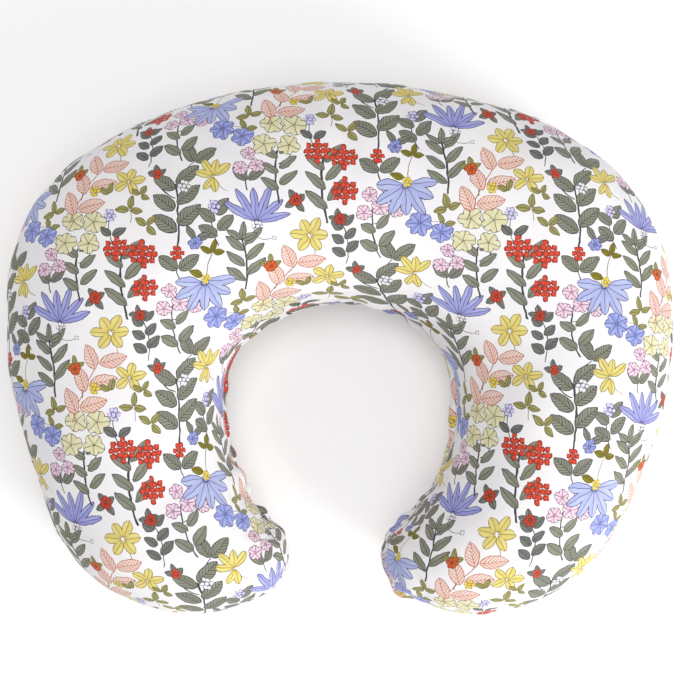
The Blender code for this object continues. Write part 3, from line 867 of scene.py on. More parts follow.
class ClothEffects:
    """Node groups that more than one finish uses. Places in them are in millimetres."""

    def __init__(self) -> None:
        """Build the groups."""
        self.weave = self._weave()
        self.mottle = self._mottle()
        self.scuffs = self._scuffs()

    @staticmethod
    def _weave() -> Group:
        """Plain weave: crossed threads as a height, with thick and thin places."""
        group = Group("weave", {"Place": "vector", "Pitch": "value", "Slub": "value"}, {"Height": "value"})
        tree = group.tree
        inverse = group["Pitch"].math("POWER", -1.0) * math.pi
        x = along(group["Place"], 0) * inverse
        y = along(group["Place"], 1) * inverse
        warp, weft = x.math("SINE").math("ABSOLUTE"), y.math("SINE").math("ABSOLUTE")
        over = (x * 0.5).math("SINE") * (y * 0.5).math("SINE")
        crossed = warp.math("MAXIMUM", weft) + over * 0.3
        slub = node(tree, "ShaderNodeTexNoise", {"Vector": group["Place"], "Scale": 0.6, "Detail": 2.0})
        group["Height"] = crossed + slub * group["Slub"]
        return group

    @staticmethod
    def _mottle() -> Group:
        """Slow drift between two colours."""
        kinds = {"Place": "vector", "Scale": "value", "One": "colour", "Other": "colour"}
        group = Group("mottle", kinds, {"Colour": "colour"})
        inputs = {"Vector": group["Place"], "Scale": group["Scale"], "Detail": 3.0}
        share = node(group.tree, "ShaderNodeTexNoise", inputs).ramp(0.35, 0.65)
        group["Colour"] = blend_colour(group.tree, share, group["One"], group["Other"])
        return group

    @staticmethod
    def _scuffs() -> Group:
        """Fine scratches as a mask."""
        group = Group("scuffs", {"Place": "vector", "Scale": "value"}, {"Mask": "value"})
        tree = group.tree
        stretched = vectors(tree, "MULTIPLY", group["Place"], (1.0, 1.0, 7.0))
        inputs = {"Vector": stretched, "Scale": group["Scale"], "Detail": 4.0}
        group["Mask"] = node(tree, "ShaderNodeTexNoise", inputs).ramp(0.52, 0.68)
        return group


def flat_place(tree: Tree, offset: Triple = (0.0, 0.0, 0.0)) -> Field:
    """Place on the cut cloth in millimetres, from the UV map, which is in metres."""
    uv = node(tree, "ShaderNodeUVMap", uv_map=FLAT_UV)
    return vectors(tree, "MULTIPLY_ADD", uv, (MILLIMETRES,) * 3, offset)


def solid_place(tree: Tree) -> Field:
    """Place in the piece in millimetres."""
    place = node(tree, "ShaderNodeTexCoord", output="Object")
    return vectors(tree, "MULTIPLY", place, (MILLIMETRES,) * 3)


def raise_bump(tree: Tree, shader: bpy.types.Node, height: Field, distance: float,
               strength: float = 1.0) -> None:
    """Feed a height to the shader's normal through a Bump node."""
    inputs = {"Height": height, "Distance": distance, "Strength": strength}
    join(tree, node(tree, "ShaderNodeBump", inputs), shader.inputs["Normal"])


@dataclass(frozen=True)
class PrintedCotton:
    """The slipcover's brushed cotton with its print.

    Args:
        cloth: colour of the unprinted cloth.
        wash: what the slow drift of its tone multiplies colours by at most.
        pitch: distance between threads in millimetres.
        offset: where the repeat starts, in millimetres.
    """

    cloth: Colour = linear(238, 236, 236)
    wash: Colour = (0.926, 0.925, 0.962)
    pitch: float = 0.42
    offset: Triple = (0.0, 0.0, 0.0)

    def make(self, name: str, effects: ClothEffects, drawing: Group) -> Material:
        """The material, with the print drawn over the cloth."""
        made, shader = new_material(name, 0.88, Sheen_Weight=0.12, Sheen_Roughness=0.5, Specular_IOR_Level=0.25)
        tree = made.node_tree
        place = flat_place(tree, self.offset)
        printed = drawing.place(tree, {"Place": place, "Cloth": self.cloth})
        inputs = {"Place": place, "Scale": 0.02, "One": (1.0, 1.0, 1.0), "Other": self.wash}
        inputs = {0: 1.0, 6: printed, 7: effects.mottle.place(tree, inputs)}
        washed = node(tree, "ShaderNodeMix", inputs, 2, data_type="RGBA", blend_type="MULTIPLY")
        join(tree, washed, shader.inputs["Base Color"])
        weave = effects.weave.place(tree, {"Place": place, "Pitch": self.pitch, "Slub": 0.8})
        join(tree, weave.ramp(0.2, 1.6, 0.93, 0.82), shader.inputs["Roughness"])
        raise_bump(tree, shader, weave, 0.00008, 0.5)
        return made


@dataclass(frozen=True)
class PlainCloth:
    """Plain woven cloth: casing, zipper tape or label satin.

    Args:
        one, other: its two tones.
        pitch: distance between threads in millimetres.
        roughness: how matt it is.
        relief: height of the threads in metres.
    """

    one: Colour
    other: Colour
    pitch: float
    roughness: float = 0.85
    relief: float = 0.00008

    def make(self, name: str, effects: ClothEffects) -> Material:
        """The material."""
        made, shader = new_material(name, self.roughness, Sheen_Weight=0.1, Sheen_Roughness=0.5)
        tree = made.node_tree
        place = flat_place(tree)
        inputs = {"Place": place, "Scale": 0.06, "One": self.one, "Other": self.other}
        join(tree, effects.mottle.place(tree, inputs), shader.inputs["Base Color"])
        weave = effects.weave.place(tree, {"Place": place, "Pitch": self.pitch, "Slub": 0.5})
        rough = weave.ramp(0.2, 1.6, self.roughness + 0.07, self.roughness - 0.07)
        join(tree, rough, shader.inputs["Roughness"])
        raise_bump(tree, shader, weave, self.relief)
        return made


@dataclass(frozen=True)
class LooseFibre:
    """Crimped polyester fibre.

    Args:
        one, other: its two tones.
    """

    one: Colour = linear(246, 246, 247)
    other: Colour = linear(232, 232, 236)

    def make(self, name: str, effects: ClothEffects) -> Material:
        """The material."""
        made, shader = new_material(name, 0.9, Sheen_Weight=0.4, Sheen_Roughness=0.4)
        tree = made.node_tree
        place = solid_place(tree)
        inputs = {"Place": place, "Scale": 0.12, "One": self.one, "Other": self.other}
        join(tree, effects.mottle.place(tree, inputs), shader.inputs["Base Color"])
        inputs = {"Vector": place, "Scale": 0.5, "Detail": 6.0, "Distortion": 3.0}
        raise_bump(tree, shader, node(tree, "ShaderNodeTexNoise", inputs), 0.0012)
        return made


@dataclass(frozen=True)
class TwistedThread:
    """Sewing thread: diagonal plies along its length.

    Args:
        light, shade: painted highlight on a ply's crown and painted shade in the groove beside it.
        ply: distance from ply to ply in millimetres.
    """

    light: Colour = linear(246, 246, 248)
    shade: Colour = linear(214, 214, 222)
    ply: float = 0.35

    def make(self, name: str) -> Material:
        """The material."""
        made, shader = new_material(name, 0.6, Sheen_Weight=0.2)
        tree = made.node_tree
        place = solid_place(tree)
        wave = node(tree, "ShaderNodeTexWave", {"Vector": place, "Scale": 1 / self.ply}, "Fac",
                    bands_direction="DIAGONAL")
        # Painted shade in the grooves and painted highlight on the crowns of the plies.
        join(tree, blend_colour(tree, wave, self.shade, self.light), shader.inputs["Base Color"])
        raise_bump(tree, shader, wave, 0.00005)
        return made


@dataclass(frozen=True)
class Moulded:
    """Nylon, enamel or bare metal of the zipper.

    Args:
        one, other: its two tones.
        roughness: roughness where it is unscuffed.
        scuffed: roughness where it is scuffed.
        metallic: 1 for bare metal.
        coat: strength of a clear coat.
    """

    one: Colour
    other: Colour
    roughness: float
    scuffed: float
    metallic: float = 0.0
    coat: float = 0.0

    def make(self, name: str, effects: ClothEffects) -> Material:
        """The material."""
        made, shader = new_material(name, self.roughness, Metallic=self.metallic, Coat_Weight=self.coat)
        tree = made.node_tree
        place = solid_place(tree)
        inputs = {"Place": place, "Scale": 0.5, "One": self.one, "Other": self.other}
        join(tree, effects.mottle.place(tree, inputs), shader.inputs["Base Color"])
        mask = effects.scuffs.place(tree, {"Place": place, "Scale": 1.4})
        join(tree, mask.ramp(0.0, 1.0, self.roughness, self.scuffed), shader.inputs["Roughness"])
        raise_bump(tree, shader, mask, 0.00002)
        return made


# ---- Meshes ----
def mesh_object(name: str, points: Array, faces: Array | list, uv: Array | None = None,
                weld: float = 0.0) -> Piece:
    """Object from points and faces.

    Args:
        name: its name.
        points: its points.
        faces: its faces, as rows of point numbers.
        uv: a place on the cut cloth for every point, in metres.
        weld: distance within which points are merged.

    Returns:
        The object, in the scene.
    """
    mesh = bpy.data.meshes.new(name)
    mesh.from_pydata(points.tolist(), [], faces if isinstance(faces, list) else faces.tolist())
    if uv is not None:
        layer = mesh.uv_layers.new(name=FLAT_UV)
        corners = np.empty(len(mesh.loops), np.int32)
        mesh.loops.foreach_get("vertex_index", corners)
        layer.data.foreach_set("uv", uv[corners].astype(np.float32).ravel())
    if weld:
        bm = bmesh.new()
        bm.from_mesh(mesh)
        bmesh.ops.remove_doubles(bm, verts=bm.verts, dist=weld)
        bm.to_mesh(mesh)
        bm.free()
    mesh.shade_smooth()
    return put(name, mesh)


def grid_quads(rows: int, columns: int, wrap: bool = False, flip: bool = False) -> Array:
    """Faces of a grid of points numbered row by row.

    Args:
        rows, columns: its size.
        wrap: whether the last column joins the first.
        flip: whether the faces turn the other way.

    Returns:
        The faces.
    """
    i, j = np.meshgrid(np.arange(rows - 1), np.arange(columns if wrap else columns - 1), indexing="ij")
    k = (j + 1) % columns
    quads = np.stack([i * columns + j, i * columns + k, (i + 1) * columns + k, (i + 1) * columns + j], -1)
    quads = quads.reshape(-1, 4)
    return quads[:, ::-1] if flip else quads


def put(name: str, data: bpy.types.ID) -> Piece:
    """Object in the scene that shows a mesh, a lamp or a camera."""
    made = bpy.data.objects.new(name, data)
    bpy.context.scene.collection.objects.link(made)
    return made


def select_only(made: Piece) -> None:
    """Make an object the only one selected, and the active one."""
    bpy.ops.object.select_all(action="DESELECT")
    made.select_set(True)
    bpy.context.view_layer.objects.active = made


def apply_modifiers(made: Piece) -> None:
    """Apply an object's modifiers in order."""
    select_only(made)
    for modifier in list(made.modifiers):
        bpy.ops.object.modifier_apply(modifier=modifier.name)


def resample(grid: Array, at: Array) -> Array:
    """Smooth curve through a grid's rows.

    Args:
        grid: the rows.
        at: places between rows, as fractional row numbers.

    Returns:
        A row for each place.
    """
    low = np.clip(np.floor(at).astype(int), 0, len(grid) - 2)
    part = (at - low).reshape((-1,) + (1,) * (grid.ndim - 1))
    before, after = grid[np.maximum(low - 1, 0)], grid[np.minimum(low + 2, len(grid) - 1)]
    one, two = grid[low], grid[low + 1]
    square = 2 * before - 5 * one + 4 * two - after
    cube = 3 * one - before - 3 * two + after
    return 0.5 * (2 * one + (two - before) * part + square * part**2 + cube * part**3)


# ---- Stations ----
@dataclass(frozen=True)
class Stations:
    """Where the rows of a panel lie along the C.

    Args:
        crowding: how far the rows crowd towards the arms' tips, from 0 to 1.
    """

    crowding: float = 0.5

    def station(self, even: Array) -> Array:
        """Stations of evenly numbered rows from -1 to 1."""
        size = np.abs(even)
        return np.sign(even) * ((1 - self.crowding) * size + self.crowding * np.sin(math.pi / 2 * size))

    def even(self, station: Array) -> Array:
        """The row numbers, from -1 to 1, of stations."""
        table = np.linspace(0.0, 1.0, 2001)
        return np.sign(station) * np.interp(np.abs(station), self.station(table), table)


STATIONS = Stations()


# ---- Cloth pattern ----
@dataclass(frozen=True)
class FlatCut:
    """Lays a panel of the cushion flat, as it was cut.

    Args:
        cushion: the form.
        rows, columns: how finely it is laid out.
        rounds: how many times the lengths are evened out.
        upwards: whether it is the upper panel.
    """

    cushion: Cushion
    rows: int = 81
    columns: int = 17
    rounds: int = 2500
    upwards: bool = True

    def lay(self) -> Array:
        """Flat places of the panel's grid.

        Returns:
            Places by row, by column, in metres, upright along y.
        """
        stations = STATIONS.station(np.linspace(-1, 1, self.rows))[:, None]
        angles = np.linspace(0, math.pi, self.columns)[None, :] * (1 if self.upwards else -1)
        solid = self.cushion.surface(stations, angles, 0.0, 0.0)
        flat = solid[..., :2].copy()
        middle = flat.mean(axis=1, keepdims=True)
        flat = middle + (flat - middle) * 1.35
        families = []
        for down, across in ((1, 0), (0, 1), (1, 1), (1, -1)):
            first = (slice(0, self.rows - down), slice(max(0, -across), self.columns - max(0, across)))
            second = (slice(down, self.rows), slice(max(0, across), self.columns + min(0, across)))
            families.append((first, second, np.linalg.norm(solid[second] - solid[first], axis=-1)))
        for _ in range(self.rounds):
            pull = np.zeros_like(flat)
            for first, second, rest in families:
                step = flat[second] - flat[first]
                now = np.linalg.norm(step, axis=-1)
                move = step * ((now - rest) / np.maximum(now, 1e-9) * 0.11)[..., None]
                pull[first] += move
                pull[second] -= move
            flat += pull
        return flat

    def places(self, flat: Array, stations: Array, angles: Array) -> Array:
        """Flat places of a finer grid whose rows have their own angles.

        Args:
            flat: what lay() gave.
            stations: the finer rows.
            angles: the angle of each point, without its sign.

        Returns:
            A place for each point.
        """
        rows = resample(flat, (STATIONS.even(stations) + 1) / 2 * (self.rows - 1))
        at = angles / math.pi * (self.columns - 1)
        return np.stack([resample(row, place) for row, place in zip(rows, at)])

    @staticmethod
    def area(flat: Array) -> float:
        """Area of the flat cut in square metres."""
        one, two, three, four = flat[:-1, :-1], flat[:-1, 1:], flat[1:, 1:], flat[1:, :-1]
        first, second = three - one, four - two
        return float(np.abs(first[..., 0] * second[..., 1] - first[..., 1] * second[..., 0]).sum() / 2)


# ---- Cloth under the filling's pressure ----
@dataclass(frozen=True)
class StuffedCloth:
    """The cover's cloth, blown up by its filling between its sewn seams.

    Args:
        cushion: the form.
        rows, columns: how finely the cloth is cut up.
        ends: the furthest rows, evenly counted, which stop short of the tips.
        start_side, start_face: how much smaller it starts.
        pressure, frames: push of the filling, and for how long.
        slack: how much longer the cloth is than the form needs.
        cap: the furthest that a point may move.
        smoothing, ironing: rounds of averaging that find the plain swelling and that smooth the creases.
    """

    cushion: Cushion
    rows: int = 220
    columns: int = 64
    ends: float = 0.985
    start_side: float = 0.002
    start_face: float = 0.004
    pressure: float = 4.0
    frames: int = 20
    slack: float = 0.04
    cap: float = 0.008
    smoothing: int = 26
    ironing: int = 2

    def grid(self) -> Array:
        """Start places by row and column, all the way round the section."""
        stations = STATIONS.station(np.linspace(-self.ends, self.ends, self.rows))[:, None]
        angles = (np.arange(self.columns) / self.columns * 2 * math.pi)[None, :]
        angles = np.where(angles > math.pi, angles - 2 * math.pi, angles)
        return self.cushion.surface(stations, angles, self.start_side, self.start_face)

    def creases(self) -> Array:
        """How far the blown cloth stands over its own plain swelling, along its normal.

        Returns:
            Heights by row and column.
        """
        start = self.grid()
        faces = grid_quads(self.rows, self.columns, wrap=True)
        piece = mesh_object("stuffed_cloth", start.reshape(-1, 3), faces)
        select_only(piece)
        held = piece.vertex_groups.new(name="held")
        seam = [0, 1, self.columns // 2 - 1, self.columns // 2, self.columns // 2 + 1, self.columns - 1]
        seamed = np.zeros(start.shape[:2], bool)
        seamed[:, seam] = True
        seamed[:3], seamed[-3:] = True, True
        seamed |= start[..., 2] < self.start_face + 0.0005
        held.add(np.flatnonzero(seamed.ravel()).tolist(), 1.0, "REPLACE")
        cloth = piece.modifiers.new("cloth", "CLOTH")
        settings = cloth.settings
        settings.quality = 6
        settings.mass = 0.003
        settings.tension_stiffness = settings.compression_stiffness = 12.0
        settings.shear_stiffness = 4.0
        settings.bending_stiffness = 0.05
        settings.use_pressure = True
        settings.uniform_pressure_force = self.pressure
        settings.effector_weights.gravity = 0.0
        settings.shrink_min = settings.shrink_max = -self.slack
        settings.vertex_group_mass = "held"
        cloth.collision_settings.use_collision = False
        cloth.point_cache.frame_start, cloth.point_cache.frame_end = 1, self.frames
        for frame_number in range(1, self.frames + 1):
            bpy.context.scene.frame_set(frame_number)
        apply_modifiers(piece)
        blown = np.empty(self.rows * self.columns * 3, np.float32)
        piece.data.vertices.foreach_get("co", blown)
        bpy.context.scene.frame_set(1)
        bpy.data.objects.remove(piece, do_unlink=True)
        move = blown.reshape(start.shape).astype(float) - start
        length = np.linalg.norm(move, axis=-1, keepdims=True)
        move *= np.minimum(1.0, self.cap / np.maximum(length, 1e-9))
        height = (move * surface_normals(start, wrap=True)).sum(-1)
        return self.averaged(height, self.ironing) - self.averaged(height, self.smoothing)

    @staticmethod
    def averaged(height: Array, rounds: int) -> Array:
        """Heights averaged with their neighbours over some rounds."""
        for _ in range(rounds):
            padded = np.pad(height, ((1, 1), (0, 0)), mode="edge")
            beside = padded[:-2] + padded[2:] + np.roll(height, 1, 1) + np.roll(height, -1, 1)
            height = (beside + 2 * height) / 6
        return height


def surface_normals(grid: Array, wrap: bool = False, flip: bool = False) -> Array:
    """Outward unit normals of a grid of points."""
    across = (np.roll(grid, -1, 1) - np.roll(grid, 1, 1)) if wrap else np.gradient(grid, axis=1)
    normal = np.cross(across, np.gradient(grid, axis=0))
    normal /= np.maximum(np.linalg.norm(normal, axis=-1, keepdims=True), 1e-12)
    return -normal if flip else normal


def soft_noise(x: Array, y: Array, seed: int) -> Array:
    """Smooth noise of about -1 to 1 with one bump to the unit.

    Args:
        x, y: places.
        seed: which noise.

    Returns:
        The noise at each place.
    """
    size = 64
    table = np.random.default_rng(seed).uniform(-1.0, 1.0, (size, size))
    column, row = np.floor(x).astype(int), np.floor(y).astype(int)
    total = np.zeros(np.broadcast(x, y).shape)
    for across in range(-1, 3):
        for up in range(-1, 3):
            apart = np.hypot(x - column - across, y - row - up)
            weight = np.clip(1 - (apart / 2) ** 2, 0.0, 1.0) ** 3
            total += weight * table[(column + across) % size, (row + up) % size]
    return total


# ---- Slipcover, casing and filling ----
@dataclass(frozen=True)
class Relief:
    """Creases and dents that all the layers share.

    Args:
        creases, gain: heights from the stuffed cloth, or None, and how strongly they show.
        dent, dent_size: depth of the broad dents and distance between them.
        quiet: distance from a seam over which both fade out.
    """

    creases: Array | None
    gain: float = 1.0
    dent: float = 0.0011
    dent_size: float = 0.048
    quiet: float = 0.012

    def height(self, points: Array, stations: Array, angles: Array,
               seam: Array) -> Array:
        """Height over the plain form.

        Args:
            points: the form's points, by row and column.
        stations: station of each row.
        angles: angle of each point, negative under the seam.
        seam: distance of each point from the seam.

        Returns:
            A height for each point.
        """
        side = np.where(angles < 0, 31.0, 0.0)
        x, y = points[..., 0] / self.dent_size + 20 + side, points[..., 1] / self.dent_size + 20
        total = self.dent * soft_noise(x, y, 5) + 0.45 * self.dent * soft_noise(2.3 * x, 2.3 * y, 11)
        if self.creases is not None:
            rows, columns = self.creases.shape
            ringed = np.pad(self.creases, ((0, 0), (2, 2)), mode="wrap")
            lengthwise = resample(ringed, (STATIONS.even(stations) + 1) / 2 * (rows - 1))
            at = np.mod(angles, 2 * math.pi) / (2 * math.pi) * columns + 2
            total = total + self.gain * np.stack([resample(row, place) for row, place in zip(lengthwise, at)])
        return total * np.clip(seam / self.quiet, 0.0, 1.0) ** 2


@dataclass(frozen=True)
class Panel:
    """A panel of one layer, as a grid of points.

    Args:
        points, stations, angles: its points, the station of each row and the angle of each point.
        seam: distance of each point from the nearest seam.
        outer_run, waist_run: distance of each row from the middle of the back along either edge.
    """

    points: Array
    stations: Array
    angles: Array
    seam: Array
    outer_run: Array
    waist_run: Array

    FLAT_TIP = 0.03

    def raised(self, height: Array, normals: Array, floor: float) -> Array:
        """Its points moved along normals by heights that fade at the tips, and kept over a floor."""
        width = np.linalg.norm(self.points[:, 0] - self.points[:, -1], axis=-1)
        height = height * np.clip(width / self.FLAT_TIP, 0.0, 1.0)[:, None]
        points = self.points + height[..., None] * normals
        points[..., 2] = np.maximum(points[..., 2], floor)
        return points


@dataclass(frozen=True)
class Mouth:
    """The opening in the slipcover's back seam that the zipper closes.

    Args:
        half_angle: how far it reaches either way, in degrees.
        half_height: distance from the seam to either folded edge.
        closing: degrees over which the folded edges meet at its ends.
    """

    half_angle: float = 24.3
    half_height: float = 0.0052
    closing: float = 0.5

    def open_share(self, cushion: Cushion, stations: Array) -> Array:
        """How open it is at each station, from 0 to 1."""
        back = cushion.outer_arcs[0].radius
        angle = np.degrees(np.abs(stations) * cushion.outer().length() / back)
        share = np.clip((self.half_angle + self.closing - angle) / self.closing, 0.0, 1.0)
        return share * share * (3 - 2 * share)


@dataclass(frozen=True)
class Sewing:
    """How a panel is drawn in and puckered along its seams.

    Args:
        draw, broad, narrow: how far the seam is drawn in, and the reach of that on the upper and lower panel.
        pucker, pucker_pitch: depth of the puckers and distance between them.
        pucker_reach: distance from the seam to the deepest part of a pucker.
        zipper_blend: distance over which the seam is drawn in past the zipper.
    """

    draw: float = 0.0030
    broad: float = 0.030
    narrow: float = 0.0048
    pucker: float = 0.0011
    pucker_pitch: float = 0.0085
    pucker_reach: float = 0.0075
    zipper_blend: float = 0.030


@dataclass(frozen=True)
class Slipcover:
    """The printed slipcover: an upper and a lower panel sewn at the rim.

    Args:
        cushion: the form.
        mouth: the zipper's opening.
        sewing: how the seams pull.
        rows, columns: how finely each panel is drawn.
        fine, coarse, fine_reach: spacing of the columns at a seam and in the middle, and where it widens.
        thickness: thickness of the cloth.
    """

    cushion: Cushion
    mouth: Mouth = Mouth()
    sewing: Sewing = Sewing()
    rows: int = 761
    columns: int = 57
    fine: float = 1.3
    coarse: float = 6.0
    fine_reach: float = 0.040
    thickness: float = 0.0010

    def column_angles(self) -> Array:
        """Angles of the columns, close together at both seams."""
        table = np.linspace(0.0, math.pi, 721)
        section = self.cushion.surface(np.zeros(1), table, 0.0, 0.0)
        run = np.concatenate([[0.0], np.cumsum(np.linalg.norm(np.diff(section, axis=0), axis=-1))])
        edge = np.clip(np.minimum(run, run[-1] - run) / self.fine_reach, 0.0, 1.0)
        spacing = self.fine + (self.coarse - self.fine) * edge[1:]
        count = np.concatenate([[0.0], np.cumsum(np.diff(run) / spacing)])
        return np.interp(np.linspace(0.0, count[-1], self.columns), count, table)

    def row_stations(self) -> Array:
        """Stations of the rows, with more of them where the zipper's mouth closes."""
        mouth = self.mouth
        back = self.cushion.outer_arcs[0].radius / self.cushion.outer().length()
        extra = np.linspace(*(math.radians(angle) * back for angle in
                              (mouth.half_angle, mouth.half_angle + mouth.closing)), 7)
        return np.unique(np.concatenate([STATIONS.station(np.linspace(-1, 1, self.rows)), extra, -extra]))

    def panel(self, upwards: bool, side: float = 0.0, face: float = 0.0, with_mouth: bool = True) -> Panel:
        """Plain panel of a layer.

        Args:
            upwards: whether it is the upper one.
            side, face: the layer's insets.
            with_mouth: whether it leaves the zipper's mouth open.

        Returns:
            The panel.
        """
        stations, base = self.row_stations(), self.column_angles()
        share = self.mouth.open_share(self.cushion, stations) * with_mouth
        reach = (self.cushion.crown_rise if upwards else self.cushion.belly_drop) - face
        start = np.arcsin(np.clip(share * self.mouth.half_height / reach, 0, 1) ** (self.cushion.power / 2))
        angles = start[:, None] + (math.pi - start[:, None]) * base[None, :] / math.pi
        signed = angles if upwards else -angles
        points = self.cushion.surface(stations[:, None], signed, side, face)
        steps = np.linalg.norm(np.diff(points, axis=1), axis=-1)
        run = np.concatenate([np.zeros((len(stations), 1)), np.cumsum(steps, axis=1)], axis=1)
        run += share[:, None] * self.mouth.half_height
        seam = np.minimum(run, run[:, -1:] - run)
        lengths = [np.abs(stations) * edge.length() for edge in (self.cushion.outer(), self.cushion.waist())]
        return Panel(points, stations, signed, seam, *lengths)

    def drawn_in(self, panel: Panel, upwards: bool) -> Array:
        """How far the sewing pulls each point of a panel inwards, with its puckers."""
        sewing = self.sewing
        end = math.radians(self.mouth.half_angle + self.mouth.closing) * self.cushion.outer_arcs[0].radius
        past = np.clip((panel.outer_run - end) / sewing.zipper_blend, 0.0, 1.0)
        past = (past * past * (3 - 2 * past))[:, None]
        outer_half = np.abs(panel.angles) < math.pi / 2
        sewn = np.where(outer_half, past, 1.0)
        reach = sewing.broad if upwards else sewing.narrow
        pull = -sewing.draw * np.exp(-((panel.seam / reach) ** 2)) * sewn
        side = np.where(panel.stations < 0, 37.0, 0.0)[:, None]
        run = np.where(outer_half, panel.outer_run[:, None], panel.waist_run[:, None] * 1.3 + 9.0)
        along_seam = run / sewing.pucker_pitch
        ridge = soft_noise(along_seam + side, panel.seam / 0.035 + 3, 21 if upwards else 22)
        patches = np.clip(0.35 + 0.9 * soft_noise(run / 0.055 + side, np.full_like(run, 0.5), 8), 0.1, 1.25)
        fall = panel.seam / sewing.pucker_reach
        swell = 1.0 + 0.8 * np.clip((0.02 - panel.points[..., 1]) / 0.12, 0.0, 1.0)
        return pull + sewing.pucker * swell * ridge * patches * fall * np.exp(1 - fall) * (0.35 + 0.65 * sewn)

    def shaped(self, upwards: bool, relief: Relief) -> tuple[Panel, Array]:
        """A panel of the slipcover in its creases.

        Args:
            upwards: whether it is the upper one.
            relief: the creases and dents.

        Returns:
            The plain panel and the shaped points.
        """
        panel = self.panel(upwards)
        normals = surface_normals(panel.points, flip=not upwards)
        for edge in (0, -1):
            normals[:, edge, 2] = 0.0
            normals[:, edge] /= np.maximum(np.linalg.norm(normals[:, edge], axis=-1, keepdims=True), 1e-9)
        height = relief.height(panel.points, panel.stations, panel.angles, panel.seam)
        height += self.drawn_in(panel, upwards)
        return panel, panel.raised(height, normals, 0.0)

    def build(self, name: str, upwards: bool, relief: Relief) -> Piece:
        panel, points = self.shaped(upwards, relief)
        return sheet_piece(name, panel, points, self.cushion, self.thickness)


def add_thickness(piece: Piece, thickness: float) -> None:
    """Give a sheet its thickness on its inner side."""
    solid = piece.modifiers.new("thickness", "SOLIDIFY")
    solid.thickness = thickness
    solid.offset = -1.0
    apply_modifiers(piece)


def sheet_piece(name: str, panel: Panel, points: Array, cushion: Cushion, thickness: float) -> Piece:
    """Make a panel and log the size that it was cut to.

    Args:
        name: the piece's name.
        panel: the plain panel.
        points: its shaped points.
        cushion: the form.
        thickness: thickness of the cloth.

    Returns:
        The piece.
    """
    upwards = bool(panel.angles.max() > 0)
    cut = FlatCut(cushion, upwards=upwards)
    flat = cut.lay()
    uv = cut.places(flat, panel.stations, np.abs(panel.angles))
    faces = grid_quads(*points.shape[:2], flip=not upwards)
    piece = mesh_object(name, points.reshape(-1, 3), faces, uv.reshape(-1, 2), WELD)
    add_thickness(piece, thickness)
    (width, length), area = (float(np.ptp(flat[..., axis])) for axis in (0, 1)), cut.area(flat)
    log.info("%s: cut from %.0f x %.0f mm, %.4f m2", name, width * MILLIMETRES, length * MILLIMETRES, area)
    return piece


@dataclass(frozen=True)
class InnerPillow:
    """The casing's two panels and the filling, inside the slipcover.

    Args:
        cover: the slipcover, whose rows and creases they follow.
        casing, filling: their places.
        step: how many of the slipcover's rows make one of theirs.
        casing_thickness: thickness of the casing's cloth.
        lump: height of the filling's lumps.
    """

    cover: Slipcover
    casing: Layer = CASING
    filling: Layer = FILLING
    step: int = 3
    casing_thickness: float = 0.0005
    lump: float = 0.0005

    def layer(self, layer: Layer, upwards: bool, relief: Relief, lump: float = 0.0) -> tuple[Panel, Array]:
        """Plain and shaped points of half a layer."""
        whole = self.cover.panel(upwards, layer.side, layer.face, with_mouth=False)
        keep = np.unique(np.append(np.arange(0, len(whole.stations), self.step), len(whole.stations) - 1))
        panel = Panel(*(part[keep] for part in (whole.points, whole.stations, whole.angles, whole.seam,
                                                whole.outer_run, whole.waist_run)))
        height = relief.height(panel.points, panel.stations, panel.angles, panel.seam)
        x, y = panel.points[..., 0] / 0.011 + 30, panel.points[..., 1] / 0.011 + 30
        height += lump * (soft_noise(x, y, 3) - 1.0) * np.clip(panel.seam / 0.02, 0.0, 1.0)
        points = panel.raised(height, surface_normals(panel.points, flip=not upwards), layer.face)
        points[:, [0, -1], 2] = self.cover.cushion.seam_height
        return panel, points

    def build_casing(self, name: str, upwards: bool, relief: Relief) -> Piece:
        panel, points = self.layer(self.casing, upwards, relief)
        return sheet_piece(name, panel, points, self.cover.cushion, self.casing_thickness)

    def build_filling(self, name: str, relief: Relief) -> Piece:
        _, upper = self.layer(self.filling, True, relief, self.lump)
        _, lower = self.layer(self.filling, False, relief, self.lump)
        ring = np.concatenate([upper, lower[:, -2:0:-1]], axis=1)
        rows, columns = ring.shape[:2]
        piece = mesh_object(name, ring.reshape(-1, 3), grid_quads(rows, columns, wrap=True), weld=WELD)
        return piece


# ---- The zipper's line and what is laid along lines ----
@dataclass(frozen=True)
class BackArc:
    """The arc at the pillow's back on which the zipper lies.

    Args:
        cushion: the form.
    """

    cushion: Cushion

    @property
    def radius(self) -> float:
        """Radius of the slipcover's outer face in the seam's plane."""
        return self.cushion.outer_arcs[0].radius

    @property
    def centre(self) -> Vector:
        """Centre of the arc, in the seam's plane."""
        return Vector((0.0, self.cushion.back_y - self.radius, self.cushion.seam_height))

    def point(self, degrees: Array, inset: Array, rise: Array) -> Array:
        """Places on the arc.

        Args:
            degrees: angle from the middle of the back.
            inset: distance inside the slipcover's outer face.
            rise: height over the seam.

        Returns:
            Points with a last axis of three.
        """
        degrees, inset, rise = np.broadcast_arrays(degrees, inset, rise)
        angle, reach = np.radians(degrees), self.radius - inset
        place = np.stack([reach * np.sin(angle), reach * np.cos(angle), rise], axis=-1)
        return place + np.array(self.centre)

    def lean(self, rise: Array) -> Array:
        """How far the slipcover's face stands inside the arc at a height over or under the seam."""
        cushion = self.cushion
        reach = np.where(np.asarray(rise) > 0, cushion.crown_rise, cushion.belly_drop)
        angle = np.arcsin(np.clip(np.abs(rise) / reach, 0, 1) ** (cushion.power / 2)) * np.sign(rise)
        face = cushion.surface(np.zeros_like(angle), angle, 0.0, 0.0)
        return cushion.back_y - face[..., 1]

    def turn(self, degrees: float) -> Matrix:
        """Frame at an angle: x along the zipper, y outwards from the slipcover's face, z up."""
        turned = Matrix.Rotation(-math.radians(degrees), 4, "Z")
        return Matrix.Translation(self.centre) @ turned @ Matrix.Translation((0.0, self.radius, 0.0))


